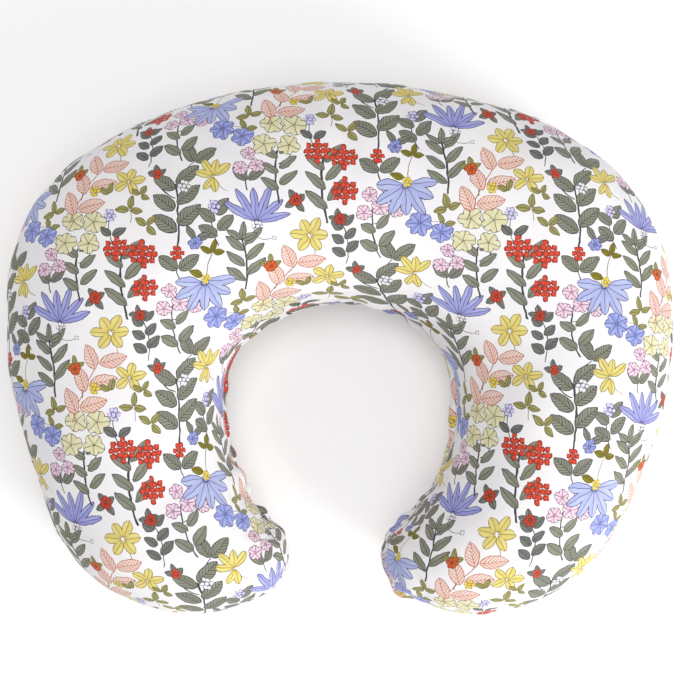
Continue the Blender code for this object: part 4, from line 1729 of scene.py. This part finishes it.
def copied(name: str, points: Array, faces: list[tuple[int, ...]], places: Array) -> Piece:
    """One piece made of many copies of a shape.

    Args:
        name: the piece's name.
        points, faces: the shape.
        places: a frame for each copy, as rows of 3 by 4 numbers.

    Returns:
        The piece.
    """
    moved = np.einsum("nij,pj->npi", places[:, :, :3], points) + places[:, None, :, 3]
    numbered = [tuple(corner + k * len(points) for corner in face)
                for k in range(len(places)) for face in faces]
    return mesh_object(name, moved.reshape(-1, 3), numbered)


def belong(piece: Piece, material: Material, body: str, node_name: str) -> None:
    """Dress a piece, give it its body and hide the imported node that it stands for."""
    piece.data.materials.append(material)
    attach(piece, body)
    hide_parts(node_name)
    log.info("%s: %d faces, rides on %s", piece.name, len(piece.data.polygons), body)


@dataclass(frozen=True)
class Stitching:
    """A row of lock stitches, each one lifting off the cloth and dipping back into it.

    Args:
        radius: radius of the thread.
        length: length of a stitch.
        gap: distance between two stitches.
        sides, rings: how finely one is drawn.
    """

    radius: float
    length: float = 0.0026
    gap: float = 0.0005
    sides: int = 6
    rings: int = 5

    def stitch(self) -> Shape:
        """One stitch, along x with its back towards y."""
        share = np.linspace(-1, 1, self.rings)[:, None]
        turn = np.arange(self.sides)[None, :] / self.sides * 2 * math.pi
        swell = self.radius * (1 - 0.75 * share**4)
        x = share * self.length / 2 + 0 * turn
        y = swell * np.cos(turn) - 0.9 * self.radius * share**4
        points = np.stack([x, y, swell * np.sin(turn)], axis=-1).reshape(-1, 3)
        faces = [tuple(face) for face in grid_quads(self.rings, self.sides, wrap=True)[:, ::-1].tolist()]
        last = (self.rings - 1) * self.sides
        return points, faces + [tuple(range(self.sides)), tuple(reversed(range(last, last + self.sides)))]

    def sew(self, name: str, line: Array, out: Array, thread: Material, node_name: str) -> None:
        """Sew along a line.

        Args:
            name: the piece's name.
            line: points along it.
            out: the direction away from the cloth at each point.
            thread: its thread.
            node_name: the node that it stands for.
        """
        run = np.concatenate([[0.0], np.cumsum(np.linalg.norm(np.diff(line, axis=0), axis=-1))])
        at = np.arange(self.length / 2, run[-1] - self.length / 2, self.length + self.gap)
        place = np.stack([np.interp(at, run, line[:, axis]) for axis in range(3)], axis=-1)
        ahead = np.stack([np.interp(at + 0.001, run, line[:, axis]) for axis in range(3)], axis=-1) - place
        ahead /= np.linalg.norm(ahead, axis=-1, keepdims=True)
        outward = np.stack([np.interp(at, run, out[:, axis]) for axis in range(3)], axis=-1)
        outward -= (outward * ahead).sum(-1, keepdims=True) * ahead
        outward /= np.linalg.norm(outward, axis=-1, keepdims=True)
        places = np.stack([ahead, outward, np.cross(ahead, outward), place], axis=-1)
        belong(copied(name, *self.stitch(), places), thread, "pillow", node_name)


@dataclass(frozen=True)
class Seams:
    """Every sewn seam and topstitched fold.

    Args:
        cushion: the form.
        arc: the zipper's line.
        zip_tail: angle past which the slipcover's seam is sewn.
        closing: angle either side of the middle at which the casing was sewn shut by hand.
        cover_inset, casing_inset, closing_inset: how far inside the rim each seam lies.
        fold_height, fold_tip: height of the topstitching over the seam, and how far it faces up in degrees.
    """

    cushion: Cushion
    arc: BackArc
    zip_tail: float = 25.6
    closing: float = 20.5
    cover_inset: float = 0.0024
    casing_inset: float = 0.0069
    closing_inset: float = 0.0045
    fold_height: float = 0.0080
    fold_tip: float = 12.0
    seam: Stitching = Stitching(radius=0.00032)
    closing_seam: Stitching = Stitching(radius=0.00032, length=0.0042, gap=0.0016)
    topstitch: Stitching = Stitching(radius=0.00024, length=0.0027, gap=0.0006)

    def rim(self, inset: float, start: float) -> Array:
        """Line from one station round the right arm, the waist and the left arm to its mirror."""
        right, across = np.linspace(start, 0.995, 300), np.linspace(0.995, -0.995, 600)
        parts = [self.cushion.surface(right, 0.0 * right, inset, 0.0),
                 self.cushion.surface(across, 0.0 * across + math.pi, inset, 0.0),
                 self.cushion.surface(-right[::-1], 0.0 * right, inset, 0.0)]
        return np.concatenate(parts)

    def start_station(self, degrees: float) -> float:
        """Station of an angle on the back's arc."""
        return math.radians(degrees) * self.arc.radius / self.cushion.outer().length()

    def build(self, thread: Material) -> None:
        """Sew the slipcover, the casing and the hand-sewn closing."""
        for name, inset, degrees, node_name in (
                ("slipcover_seam", self.cover_inset, self.zip_tail, "cover_seam_stitch"),
                ("casing_seam", self.casing_inset, self.closing, "case_seam_stitch")):
            line = self.rim(inset, self.start_station(degrees))
            up = np.tile([0.0, 0.0, 1.0], (len(line), 1))
            self.seam.sew(name, line, up, thread, node_name)
        degrees = np.linspace(-self.closing, self.closing, 200)
        line = self.arc.point(degrees, np.array(self.closing_inset), np.array(0.0))
        out = self.outwards(degrees, 0.0)
        self.closing_seam.sew("casing_closing", line, out, thread, "case_closing_stitch")

    def outwards(self, degrees: Array, tip: float) -> Array:
        """Direction out of the back at each angle, tipped up or down by so many degrees."""
        turn, tipped = np.radians(degrees), math.radians(tip)
        flat = math.cos(tipped)
        rise = np.full_like(turn, math.sin(tipped))
        return np.stack([flat * np.sin(turn), flat * np.cos(turn), rise], axis=-1)

    def build_topstitch(self, name: str, side: int, cover: Array, mouth: Mouth, thread: Material,
                        node_name: str) -> None:
        """Sew a fold to its tape, on the shaped slipcover.

        Args:
            name: the piece's name.
            side: 1 over the seam, -1 under it.
            cover: points of the shaped panel, by row and column.
            mouth: the zipper's opening.
            thread: its thread.
            node_name: the node that it stands for.
        """
        centre = np.array(self.arc.centre)
        line = []
        for row in cover:
            height = side * (row[:10, 2] - centre[2])
            turn = math.degrees(math.atan2(row[0, 0], row[0, 1] - centre[1]))
            if abs(turn) <= mouth.half_angle:
                line.append([np.interp(self.fold_height, height, row[:10, axis]) for axis in range(3)])
        line = np.array(line)
        degrees = np.degrees(np.arctan2(line[:, 0], line[:, 1] - centre[1]))
        self.topstitch.sew(name, line, self.outwards(degrees, side * self.fold_tip), thread, node_name)


@dataclass(frozen=True)
class Label:
    """Blank woven satin label, folded double and sewn into a seam.

    Args:
        length, drop: its length along the seam, and how far it hangs from it.
        station, inset: where its middle is, and its distance inside the slipcover's outer face.
        thickness: thickness of the ribbon.
        loft: how far its two layers stand apart at the fold.
    """

    length: float
    drop: float
    station: float
    inset: float
    thickness: float = 0.00022
    loft: float = 0.0006

    def build(self, name: str, cushion: Cushion, material: Material, node_name: str) -> None:
        """Make the label."""
        reach = self.length / 2 / cushion.outer().length()
        stations = np.linspace(self.station - reach, self.station + reach, 25)[:, None]
        drops = np.concatenate([np.linspace(0.0015, self.drop, 12), np.linspace(self.drop, 0.0015, 12)])
        angle = np.arcsin((drops / cushion.belly_drop) ** (cushion.power / 2))[None, :]
        share = np.linspace(-1, 1, 24)
        depth = self.inset + self.loft * np.where(share > 0, 1.0, 0.15) * (1 - np.abs(share) ** 8)
        rows = [cushion.surface(stations, -angle[:, k:k + 1], depth[k], 0.0008) for k in range(24)]
        points = np.concatenate(rows, axis=1)
        along_seam = np.linspace(-self.length / 2, self.length / 2, 25)[:, None] + 0 * angle
        down = np.linspace(0.0, 2 * self.drop, 24)[None, :] + 0 * stations
        uv = np.stack([along_seam, down], axis=-1).reshape(-1, 2)
        piece = mesh_object(name, points.reshape(-1, 3), grid_quads(25, 24, flip=self.station > 0), uv)
        add_thickness(piece, self.thickness)
        belong(piece, material, "pillow", node_name)


# ---- Shaping with edit-mode tools ----
@contextmanager
def editing(made: Piece) -> Iterator[None]:
    """Edit mode on one object."""
    select_only(made)
    bpy.ops.object.mode_set(mode="EDIT")
    yield
    bpy.ops.object.mode_set(mode="OBJECT")


def block(name: str, low: Triple, high: Triple) -> Piece:
    """Cube between two corners, with its place in its mesh."""
    bpy.ops.object.select_all(action="DESELECT")
    middle = [(a + b) / 2 for a, b in zip(low, high)]
    size = [b - a for a, b in zip(low, high)]
    bpy.ops.mesh.primitive_cube_add(size=1.0, location=middle, scale=size)
    made = bpy.context.view_layer.objects.active
    made.name = made.data.name = name
    bpy.ops.object.transform_apply(location=True, rotation=True, scale=True)
    return made


def cut(axis: int, levels: Iterable[float]) -> None:
    """Cut everything across one axis at some levels, leaving it whole."""
    for level in levels:
        bpy.ops.mesh.select_all(action="SELECT")
        place, normal = [0.0] * 3, [0.0] * 3
        place[axis], normal[axis] = level, 1.0
        bpy.ops.mesh.bisect(plane_co=place, plane_no=normal)


def pick_faces(made: Piece, test: Callable[[Vector, Vector], bool]) -> None:
    """Select the faces whose middle and normal pass a test."""
    bpy.ops.mesh.select_mode(type="FACE")
    bpy.ops.mesh.select_all(action="DESELECT")
    shape = bmesh.from_edit_mesh(made.data)
    shape.normal_update()
    for face in shape.faces:
        face.select_set(test(face.calc_center_median(), face.normal))
    bmesh.update_edit_mesh(made.data)


def pick_corners(made: Piece, test: Callable[[Vector], bool]) -> None:
    """Select the corners whose place passes a test."""
    bpy.ops.mesh.select_mode(type="VERT")
    bpy.ops.mesh.select_all(action="DESELECT")
    shape = bmesh.from_edit_mesh(made.data)
    for corner in shape.verts:
        corner.select_set(test(corner.co))
    bmesh.update_edit_mesh(made.data)


def pick_edges(made: Piece, test: Callable[[Vector, Vector], bool]) -> None:
    """Select the edges whose middle and direction pass a test."""
    bpy.ops.mesh.select_mode(type="EDGE")
    bpy.ops.mesh.select_all(action="DESELECT")
    shape = bmesh.from_edit_mesh(made.data)
    for edge in shape.edges:
        start, end = (corner.co for corner in edge.verts)
        edge.select_set(test((start + end) / 2, (end - start).normalized()))
    bmesh.update_edit_mesh(made.data)


def extrude(step: Triple) -> None:
    """Extrude the selected faces."""
    bpy.ops.mesh.extrude_region_move(TRANSFORM_OT_translate={"value": step})


def scale_about(middle: Triple, factors: Triple) -> None:
    """Scale the selection about a place."""
    bpy.ops.transform.resize(value=factors, center_override=middle)


def round_edges(made: Piece, width: float, segments: int = 2) -> None:
    """Round every sharp edge and shade it smoothly."""
    bevel = made.modifiers.new("rounded", "BEVEL")
    bevel.width, bevel.segments = width, segments
    bevel.limit_method, bevel.angle_limit = "ANGLE", math.radians(35)
    bevel.harden_normals = True
    apply_modifiers(made)
    select_only(made)
    bpy.ops.object.shade_smooth_by_angle(angle=math.radians(40))


def unite(made: Piece, *others: Piece) -> None:
    """Join other bodies onto one."""
    for other in others:
        union = made.modifiers.new("joined", "BOOLEAN")
        union.operation, union.solver, union.object = "UNION", "EXACT", other
        apply_modifiers(made)
        bpy.data.objects.remove(other, do_unlink=True)


def settle(made: Piece, frame_at: Matrix) -> None:
    """Move a shape from its own frame to its place, and leave the place in its mesh."""
    made.matrix_world = frame_at
    select_only(made)
    bpy.ops.object.transform_apply(location=True, rotation=True, scale=True)


# ---- Zipper ----
@dataclass(frozen=True)
class ZipperTapes:
    """The two woven tapes that the slipcover's folds are sewn to.

    Args:
        arc: the zipper's line.
        reach: angle either side of the middle where they end.
        inset: distance inside the slipcover's face.
        low, high: their edges' distance from the seam.
        rib: height of the thick woven rib beside the coil.
        thickness: thickness of the tape.
    """

    arc: BackArc
    reach: float = 25.5
    inset: float = 0.0017
    low: float = 0.0010
    high: float = 0.0130
    rib: float = 0.00015
    thickness: float = 0.0005

    def build(self, name: str, side: int, material: Material, node_name: str) -> None:
        """Make one tape.

        Args:
            name: its name.
            side: 1 over the seam, -1 under it.
            material: its weave.
            node_name: the node that it stands for.
        """
        degrees = np.linspace(-self.reach, self.reach, 401)[:, None]
        rises = np.concatenate([np.linspace(self.low, 0.0042, 11), np.linspace(0.005, self.high, 10)])
        ribbed = self.rib * np.exp(-(((rises - 0.0034) / 0.0004) ** 2))
        inset = self.inset + self.arc.lean(side * rises) - ribbed
        points = self.arc.point(degrees, inset[None, :], side * rises[None, :])
        run = np.radians(degrees) * self.arc.radius + 0 * rises[None, :]
        uv = np.stack([run, rises[None, :] + 0 * run], axis=-1).reshape(-1, 2)
        faces = grid_quads(len(degrees), len(rises), flip=side < 0)
        piece = mesh_object(name, points.reshape(-1, 3), faces, uv)
        add_thickness(piece, self.thickness)
        belong(piece, material, "pillow", node_name)


@dataclass(frozen=True)
class ZipperCoil:
    """Nylon coil: one bent loop, copied along the tape's edge.

    Args:
        arc: the zipper's line.
        reach: angle either side of the middle where the coil ends.
        pitch: distance from loop to loop.
        head, heel: distance from the seam's plane to a loop's head and heel.
        front, depth: inset of a loop's front and how deep it is.
        wire, head_swell: radius of the nylon, and how much wider it is at the head.
        slope: how far a loop leans along the zipper.
    """

    arc: BackArc
    reach: float = 23.5
    pitch: float = 0.0015
    head: float = 0.00045
    heel: float = 0.0025
    front: float = 0.00015
    depth: float = 0.0013
    wire: float = 0.00030
    head_swell: float = 1.35
    slope: float = 0.00030

    def loop(self) -> Shape:
        """One loop in its own frame: x along the zipper, y outwards, z towards its heel."""
        bpy.ops.object.select_all(action="DESELECT")
        bpy.ops.mesh.primitive_torus_add(major_radius=0.001, minor_radius=self.wire, major_segments=12,
                                         minor_segments=5, rotation=(0.0, math.pi / 2, 0.0))
        made = bpy.context.view_layer.objects.active
        bpy.ops.object.transform_apply(location=True, rotation=True, scale=True)
        middle = (self.head + self.heel) / 2
        tall, deep = (self.heel - self.head) / 2 - self.wire, self.depth / 2 - self.wire
        with editing(made):
            bpy.ops.mesh.select_all(action="SELECT")
            outer = 0.001 + self.wire
            scale_about((0, 0, 0), (1.0, (deep + self.wire) / outer, (tall + self.wire) / outer))
            bpy.ops.transform.translate(value=(0.0, -self.front - self.depth / 2, middle))
            pick_corners(made, lambda place: place.z < self.head + 2 * self.wire)
            scale_about((0.0, 0.0, self.head), (self.head_swell, 1.0, 1.0))
            pick_corners(made, lambda place: place.y > -self.front - self.depth / 2)
            bpy.ops.transform.translate(value=(self.slope, 0.0, 0.0))
        points = np.empty(len(made.data.vertices) * 3, np.float32)
        made.data.vertices.foreach_get("co", points)
        faces = [tuple(face.vertices) for face in made.data.polygons]
        bpy.data.objects.remove(made, do_unlink=True)
        return points.reshape(-1, 3).astype(float), faces

    def build(self, name: str, side: int, material: Material, node_name: str) -> None:
        """Make one row, the lower one half a pitch further on.

        Args:
            name: its name.
            side: 1 over the seam, -1 under it.
            material: the nylon.
            node_name: the node that it stands for.
        """
        points, faces = self.loop()
        step = math.degrees(self.pitch / self.arc.radius)
        start = -self.reach + step * (0.5 if side > 0 else 1.0)
        places = []
        for degrees in np.arange(start, self.reach - step / 2, step):
            place = np.array(self.arc.turn(float(degrees)))[:3]
            if side < 0:
                place = place @ np.diag([1.0, 1.0, -1.0, 1.0])
            places.append(place)
        turned = faces if side > 0 else [tuple(reversed(face)) for face in faces]
        piece = copied(name, points, turned, np.array(places))
        belong(piece, material, "pillow", node_name)


@dataclass(frozen=True)
class ZipperStops:
    """Crimped metal stops at the coil's ends.

    Args:
        arc: the zipper's line.
        coil_end, gap: angle at which the coil ends, and the distance from there.
        length: length of a stop along the zipper.
        proud, foot: how far it stands out of the slipcover's face, and the inset of its foot.
        low, high: its edges' distance from the seam.
        groove: depth of the groove across it.
    """

    arc: BackArc
    coil_end: float = 23.6
    gap: float = 0.0003
    length: float = 0.0024
    proud: float = 0.0006
    foot: float = 0.0014
    low: float = 0.0007
    high: float = 0.0026
    groove: float = 0.00022

    def build_one(self, name: str, end: int, low: float, high: float, material: Material,
                  node_name: str) -> None:
        """Make one stop.

        Args:
            name: its name.
            end: 1 at the closed end of the zipper, -1 at the other.
            low, high: its edges' height over the seam.
            material: its metal.
            node_name: the node that it stands for.
        """
        half = self.length / 2
        made = block(name, (-half, -self.foot, low), (half, self.proud, high))
        with editing(made):
            cut(0, (-half * 0.3, half * 0.3))
            pick_faces(made, lambda middle, normal: normal.y > 0.5 and abs(middle.x) < half * 0.3)
            bpy.ops.transform.translate(value=(0.0, -self.groove, 0.0))
            pick_edges(made, lambda middle, along_it: abs(along_it.x) > 0.9 and middle.y > 0)
            bpy.ops.mesh.bevel(offset=0.0004, segments=3, affect="EDGES")
        round_edges(made, 0.00012)
        turn = self.coil_end + math.degrees((self.gap + half) / self.arc.radius)
        settle(made, self.arc.turn(end * turn))
        belong(made, material, "pillow", node_name)

    def build(self, material: Material) -> None:
        """Make all three."""
        self.build_one("top_stop_upper", 1, self.low, self.high, material, "zipper_top_stop_upper")
        self.build_one("top_stop_lower", 1, -self.high, -self.low, material, "zipper_top_stop_lower")
        self.build_one("bottom_stop", -1, -self.high, self.high, material, "zipper_bottom_stop")


@dataclass(frozen=True)
class ZipperSlider:
    """Enamelled slider with its bridge and pull tab, drawn with x along the zipper, y outwards, z up.

    Args:
        arc: the zipper's line.
        angle: where it is parked, in degrees from the middle of the back.
        length, width, tail_width, plate: its plates, their narrow end and their thickness.
        face_gap, inner_inset: distance of the outer and inner plate from the slipcover's face.
        flange, flange_foot: thickness of the flanges and the inset of their feet.
        neck, neck_length: the neck between the coils.
        bridge_length, bridge_width, bridge_leg, bridge_bar, clearance: the bridge and the room under it.
        tab_length, tab_width, tab_thickness, root_width, bar: the tab, and its bar at the bridge.
        window_length, window_width: the tab's window.
    """

    arc: BackArc
    angle: float = 22.7
    length: float = 0.0110
    width: float = 0.0084
    tail_width: float = 0.0070
    plate: float = 0.0010
    face_gap: float = 0.0003
    inner_inset: float = 0.0025
    flange: float = 0.0008
    flange_foot: float = 0.0011
    neck: float = 0.0007
    neck_length: float = 0.0050
    bridge_length: float = 0.0074
    bridge_width: float = 0.0016
    bridge_leg: float = 0.0012
    bridge_bar: float = 0.0009
    clearance: float = 0.0020
    tab_length: float = 0.0240
    tab_width: float = 0.0062
    tab_thickness: float = 0.0010
    root_width: float = 0.0050
    window_length: float = 0.0050
    window_width: float = 0.0026
    bar: float = 0.0010

    def plate_body(self, name: str, low: float, high: float, flanged: bool) -> Piece:
        """One plate: narrow at its tail, with rounded corners, and flanged where it holds the coils."""
        half, side = self.length / 2, self.width / 2
        lip = side - self.flange
        made = block(name, (-half, low, -side), (half, high, side))
        with editing(made):
            cut(2, (-lip, lip))
            if flanged:
                pick_faces(made, lambda middle, normal: normal.y < -0.5 and abs(middle.z) > lip)
                extrude((0.0, -self.flange_foot - low, 0.0))
            cut(0, (-half * 0.45, half * 0.1, half * 0.55))
            for level, narrowing in ((-half, self.tail_width / self.width), (half, 0.86)):
                pick_faces(made, lambda middle, normal, level=level: abs(middle.x - level) < 1e-5)
                scale_about((level, 0.0, 0.0), (1.0, 1.0, narrowing))
            pick_edges(made, lambda middle, along_it: abs(along_it.y) > 0.9 and abs(abs(middle.x) - half) < 1e-5
                       and abs(middle.z) > side * 0.7)
            bpy.ops.mesh.bevel(offset=0.0009, segments=4, affect="EDGES")
        return made

    def bridge(self) -> Piece:
        """Arched bridge that carries the tab."""
        half = self.bridge_length / 2
        under = self.face_gap + self.plate + self.clearance
        over, wide = under + self.bridge_bar, self.bridge_width / 2
        made = block("bridge", (-half, under, -wide), (half, over, wide))
        with editing(made):
            cut(0, (-half + self.bridge_leg, half - self.bridge_leg))
            pick_faces(made, lambda middle, normal: normal.y < -0.5 and abs(middle.x) > half - self.bridge_leg)
            extrude((0.0, self.face_gap + self.plate / 2 - under, 0.0))
            pick_edges(made, lambda middle, along_it: abs(along_it.z) > 0.9 and middle.y > over - 1e-5
                       and abs(middle.x) > half - 1e-5)
            bpy.ops.mesh.bevel(offset=0.0013, segments=6, affect="EDGES")
        return made

    def build(self, material: Material) -> None:
        """Make the slider."""
        outer = self.plate_body("slider_body", self.face_gap, self.face_gap + self.plate, True)
        inner_high = -self.inner_inset
        inner = self.plate_body("inner_plate", inner_high - self.plate, inner_high, False)
        half = self.length / 2
        neck = block("neck", (half * 0.95 - self.neck_length, inner_high - self.plate / 2, -self.neck / 2),
                     (half * 0.95, self.face_gap + self.plate / 2, self.neck / 2))
        with editing(neck):
            pick_edges(neck, lambda middle, along_it: abs(along_it.y) > 0.9)
            bpy.ops.mesh.bevel(offset=self.neck * 0.3, segments=2, affect="EDGES")
        unite(outer, neck, inner, self.bridge())
        round_edges(outer, 0.00016)
        settle(outer, self.arc.turn(self.angle))
        belong(outer, material, "slider", "zipper_slider")

    def build_tab(self, material: Material) -> None:
        """Make the pull tab: a rounded plate with a window at its bar and a shallow sunk panel."""
        thick, wide = self.tab_thickness / 2, self.tab_width / 2
        bar, window = self.bar / 2, self.window_width / 2
        far, panel_start = bar + self.window_length, bar + self.window_length + 0.0022
        made = block("pull_tab", (-self.tab_length, -thick, -wide), (bar, thick, wide))
        with editing(made):
            pick_edges(made, lambda middle, along_it: abs(along_it.y) > 0.9
                       and middle.x < -self.tab_length + 1e-5)
            bpy.ops.mesh.bevel(offset=wide * 0.97, segments=10, affect="EDGES")
            cut(0, (-bar, -far, -panel_start))
            cut(2, (-window, window))
            pick_faces(made, lambda middle, normal: abs(normal.y) > 0.5 and -far < middle.x < -bar
                       and abs(middle.z) < window)
            bpy.ops.mesh.bridge_edge_loops()
            pick_edges(made, lambda middle, along_it: middle.x > -bar - 1e-5 and abs(middle.z) > window * 1.1
                       and abs(along_it.x) < 0.1)
            scale_about((0.0, 0.0, 0.0), (1.0, 1.0, self.root_width / self.tab_width))
            for side in (-1, 1):
                pick_faces(made, lambda middle, normal, side=side: side * normal.y > 0.5
                           and middle.x < -panel_start + 1e-5)
                bpy.ops.mesh.dissolve_faces()
                bpy.ops.mesh.inset(thickness=0.0008, depth=0.0)
                bpy.ops.mesh.inset(thickness=0.0003, depth=-0.00018)
        round_edges(made, 0.00014)
        lift = Matrix.Translation((0.0, self.face_gap + self.plate + self.clearance / 2, 0.0))
        settle(made, self.arc.turn(self.angle) @ lift)
        belong(made, material, "pull_tab", "zipper_pull_tab")


# ---- Studio ----
@dataclass(frozen=True)
class Softbox:
    """A square light aimed at the pillow.

    Args:
        name, place: its name and where it stands.
        size, power, colour: its width in metres, its watts and its colour.
    """

    name: str
    place: Triple
    size: float
    power: float
    colour: Colour = (1.0, 1.0, 1.0)

    AIM = (0.0, 0.0, 0.05)

    def build(self) -> None:
        """Put it up."""
        data = bpy.data.lights.new(self.name, "AREA")
        data.size, data.energy, data.color = self.size, self.power, self.colour
        made = put(self.name, data)
        made.location = self.place
        made.rotation_euler = (Vector(self.AIM) - made.location).to_track_quat("-Z", "Y").to_euler()


@dataclass(frozen=True)
class Studio:
    """White floor, soft light and the camera overhead.

    Args:
        eye, focal: where the camera is, and its focal length in millimetres.
        floor_size, floor_colour, floor_glow: width and colour of the floor, and its own light.
        ambient: brightness of the surroundings.
        lights: the lights.
    """

    eye: Triple = (-0.0004, 0.0059, 1.666)
    focal: float = 100.7
    floor_size: float = 9.0
    floor_colour: Colour = linear(252, 252, 253)
    floor_glow: float = 0.06
    ambient: float = 0.49
    lights: tuple[Softbox, ...] = (
        Softbox("key", (-0.30, 0.60, 2.8), 1.0, 16.0),
        Softbox("fill", (1.7, -1.4, 1.0), 1.1, 42.0, (1.0, 0.99, 0.98)),
        Softbox("top", (0.1, -0.2, 3.0), 2.0, 22.0),
    )

    def build(self) -> None:
        """Set it up."""
        scene = bpy.context.scene
        camera = bpy.data.cameras.new("camera")
        camera.lens, camera.clip_end = self.focal, 30.0
        scene.camera = put("camera", camera)
        scene.camera.location = self.eye
        half = self.floor_size / 2
        corners = np.array([(-half, -half, 0.0), (half, -half, 0.0), (half, half, 0.0), (-half, half, 0.0)])
        floor = mesh_object("floor", corners, np.array([[0, 1, 2, 3]]))
        made, shader = new_material("studio floor", 0.95, Specular_IOR_Level=0.1)
        shader.inputs["Base Color"].default_value = (*self.floor_colour, 1.0)
        shader.inputs["Emission Color"].default_value = (1.0, 1.0, 1.0, 1.0)
        shader.inputs["Emission Strength"].default_value = self.floor_glow
        floor.data.materials.append(made)
        world = bpy.data.worlds.new("surroundings")
        world.use_nodes = True
        background = world.node_tree.nodes["Background"]
        background.inputs["Color"].default_value = (1.0, 0.995, 0.99, 1.0)
        background.inputs["Strength"].default_value = self.ambient
        scene.world = world
        for light in self.lights:
            light.build()
        scene.view_settings.view_transform = "Standard"
        log.info("studio: camera %.2f m up, %d lights", self.eye[2], len(self.lights))


# ---- Pillow ----
class NursingPillow:
    """The whole pillow: its layers, seams, labels and zipper."""

    def __init__(self) -> None:
        """Lay out the form and mix the finishes."""
        self.cushion = Cushion()
        self.arc = BackArc(self.cushion)
        self.cover = Slipcover(self.cushion)
        self.effects = ClothEffects()
        self.thread = TwistedThread().make("white thread")

    def build_layers(self, relief: Relief) -> None:
        """Make the slipcover, the casing and the filling."""
        drawing = BotanicalPrint().group()
        casing = PlainCloth(linear(238, 236, 232), linear(228, 226, 221), 0.5)
        plain = casing.make("casing cotton", self.effects)
        inner = InnerPillow(self.cover)
        for word, upwards, node_word, shift in (("upper", True, "top", 0.0), ("lower", False, "bottom", 61.0)):
            cotton = PrintedCotton(offset=(shift, shift / 2, 0.0))
            printed = cotton.make("printed cotton " + word, self.effects, drawing)
            piece = self.cover.build("slipcover_" + word, upwards, relief)
            belong(piece, printed, "pillow", "cover_" + node_word)
            piece = inner.build_casing("casing_" + word, upwards, relief)
            belong(piece, plain, "pillow", "case_" + node_word)
        fibre = LooseFibre().make("loose fibre", self.effects)
        belong(inner.build_filling("filling", relief), fibre, "pillow", "fibre_fill")

    def build_sewing(self, relief: Relief) -> None:
        """Make the seams, the topstitching and the labels."""
        seams = Seams(self.cushion, self.arc)
        seams.build(self.thread)
        for word, side in (("upper", 1), ("lower", -1)):
            _, points = self.cover.shaped(side > 0, relief)
            seams.build_topstitch("topstitch_" + word, side, points, self.cover.mouth, self.thread,
                                  "zipper_stitch_" + word)
        satin = PlainCloth(linear(244, 244, 241), linear(236, 236, 232), 0.22, 0.45, 0.00004)
        woven = satin.make("label satin", self.effects)
        Label(0.034, 0.022, -0.50, 0.0024).build("care_label", self.cushion, woven, "cover_care_label")
        Label(0.034, 0.022, 0.50, 0.0070).build("casing_label", self.cushion, woven, "case_label")

    def build_zipper(self) -> None:
        """Make the tapes, coils, stops, slider and pull tab."""
        weave = PlainCloth(linear(236, 236, 240), linear(226, 226, 232), 0.6, 0.8, 0.00012)
        tape = weave.make("zipper tape", self.effects)
        moulded = Moulded(linear(240, 240, 242), linear(230, 230, 233), 0.35, 0.5)
        nylon = moulded.make("coil nylon", self.effects)
        enamel = Moulded(linear(238, 238, 240), linear(232, 232, 235), 0.28, 0.42, coat=0.4)
        metal = Moulded(linear(205, 205, 208), linear(190, 190, 195), 0.3, 0.5, metallic=1.0)
        for word, side in (("upper", 1), ("lower", -1)):
            ZipperTapes(self.arc).build("tape_" + word, side, tape, "zipper_tape_" + word)
            ZipperCoil(self.arc).build("coil_" + word, side, nylon, "zipper_coil_" + word)
        ZipperStops(self.arc).build(metal.make("stop metal", self.effects))
        slider = ZipperSlider(self.arc)
        finish = enamel.make("slider enamel", self.effects)
        slider.build(finish)
        slider.build_tab(finish)

    def build(self) -> None:
        """Make everything."""
        creases = StuffedCloth(self.cushion).creases()
        if creases is not None:
            log.info("stuffed cloth: creases up to %.1f mm", creases.max() * MILLIMETRES)
        relief = Relief(creases)
        self.build_layers(relief)
        self.build_sewing(relief)
        self.build_zipper()


def main() -> None:
    """Build the pillow and the studio."""
    logging.basicConfig(level=logging.INFO, format="%(message)s")
    NursingPillow().build()
    Studio().build()
    bpy.context.view_layer.update()


if __name__ == "__main__":
    main()
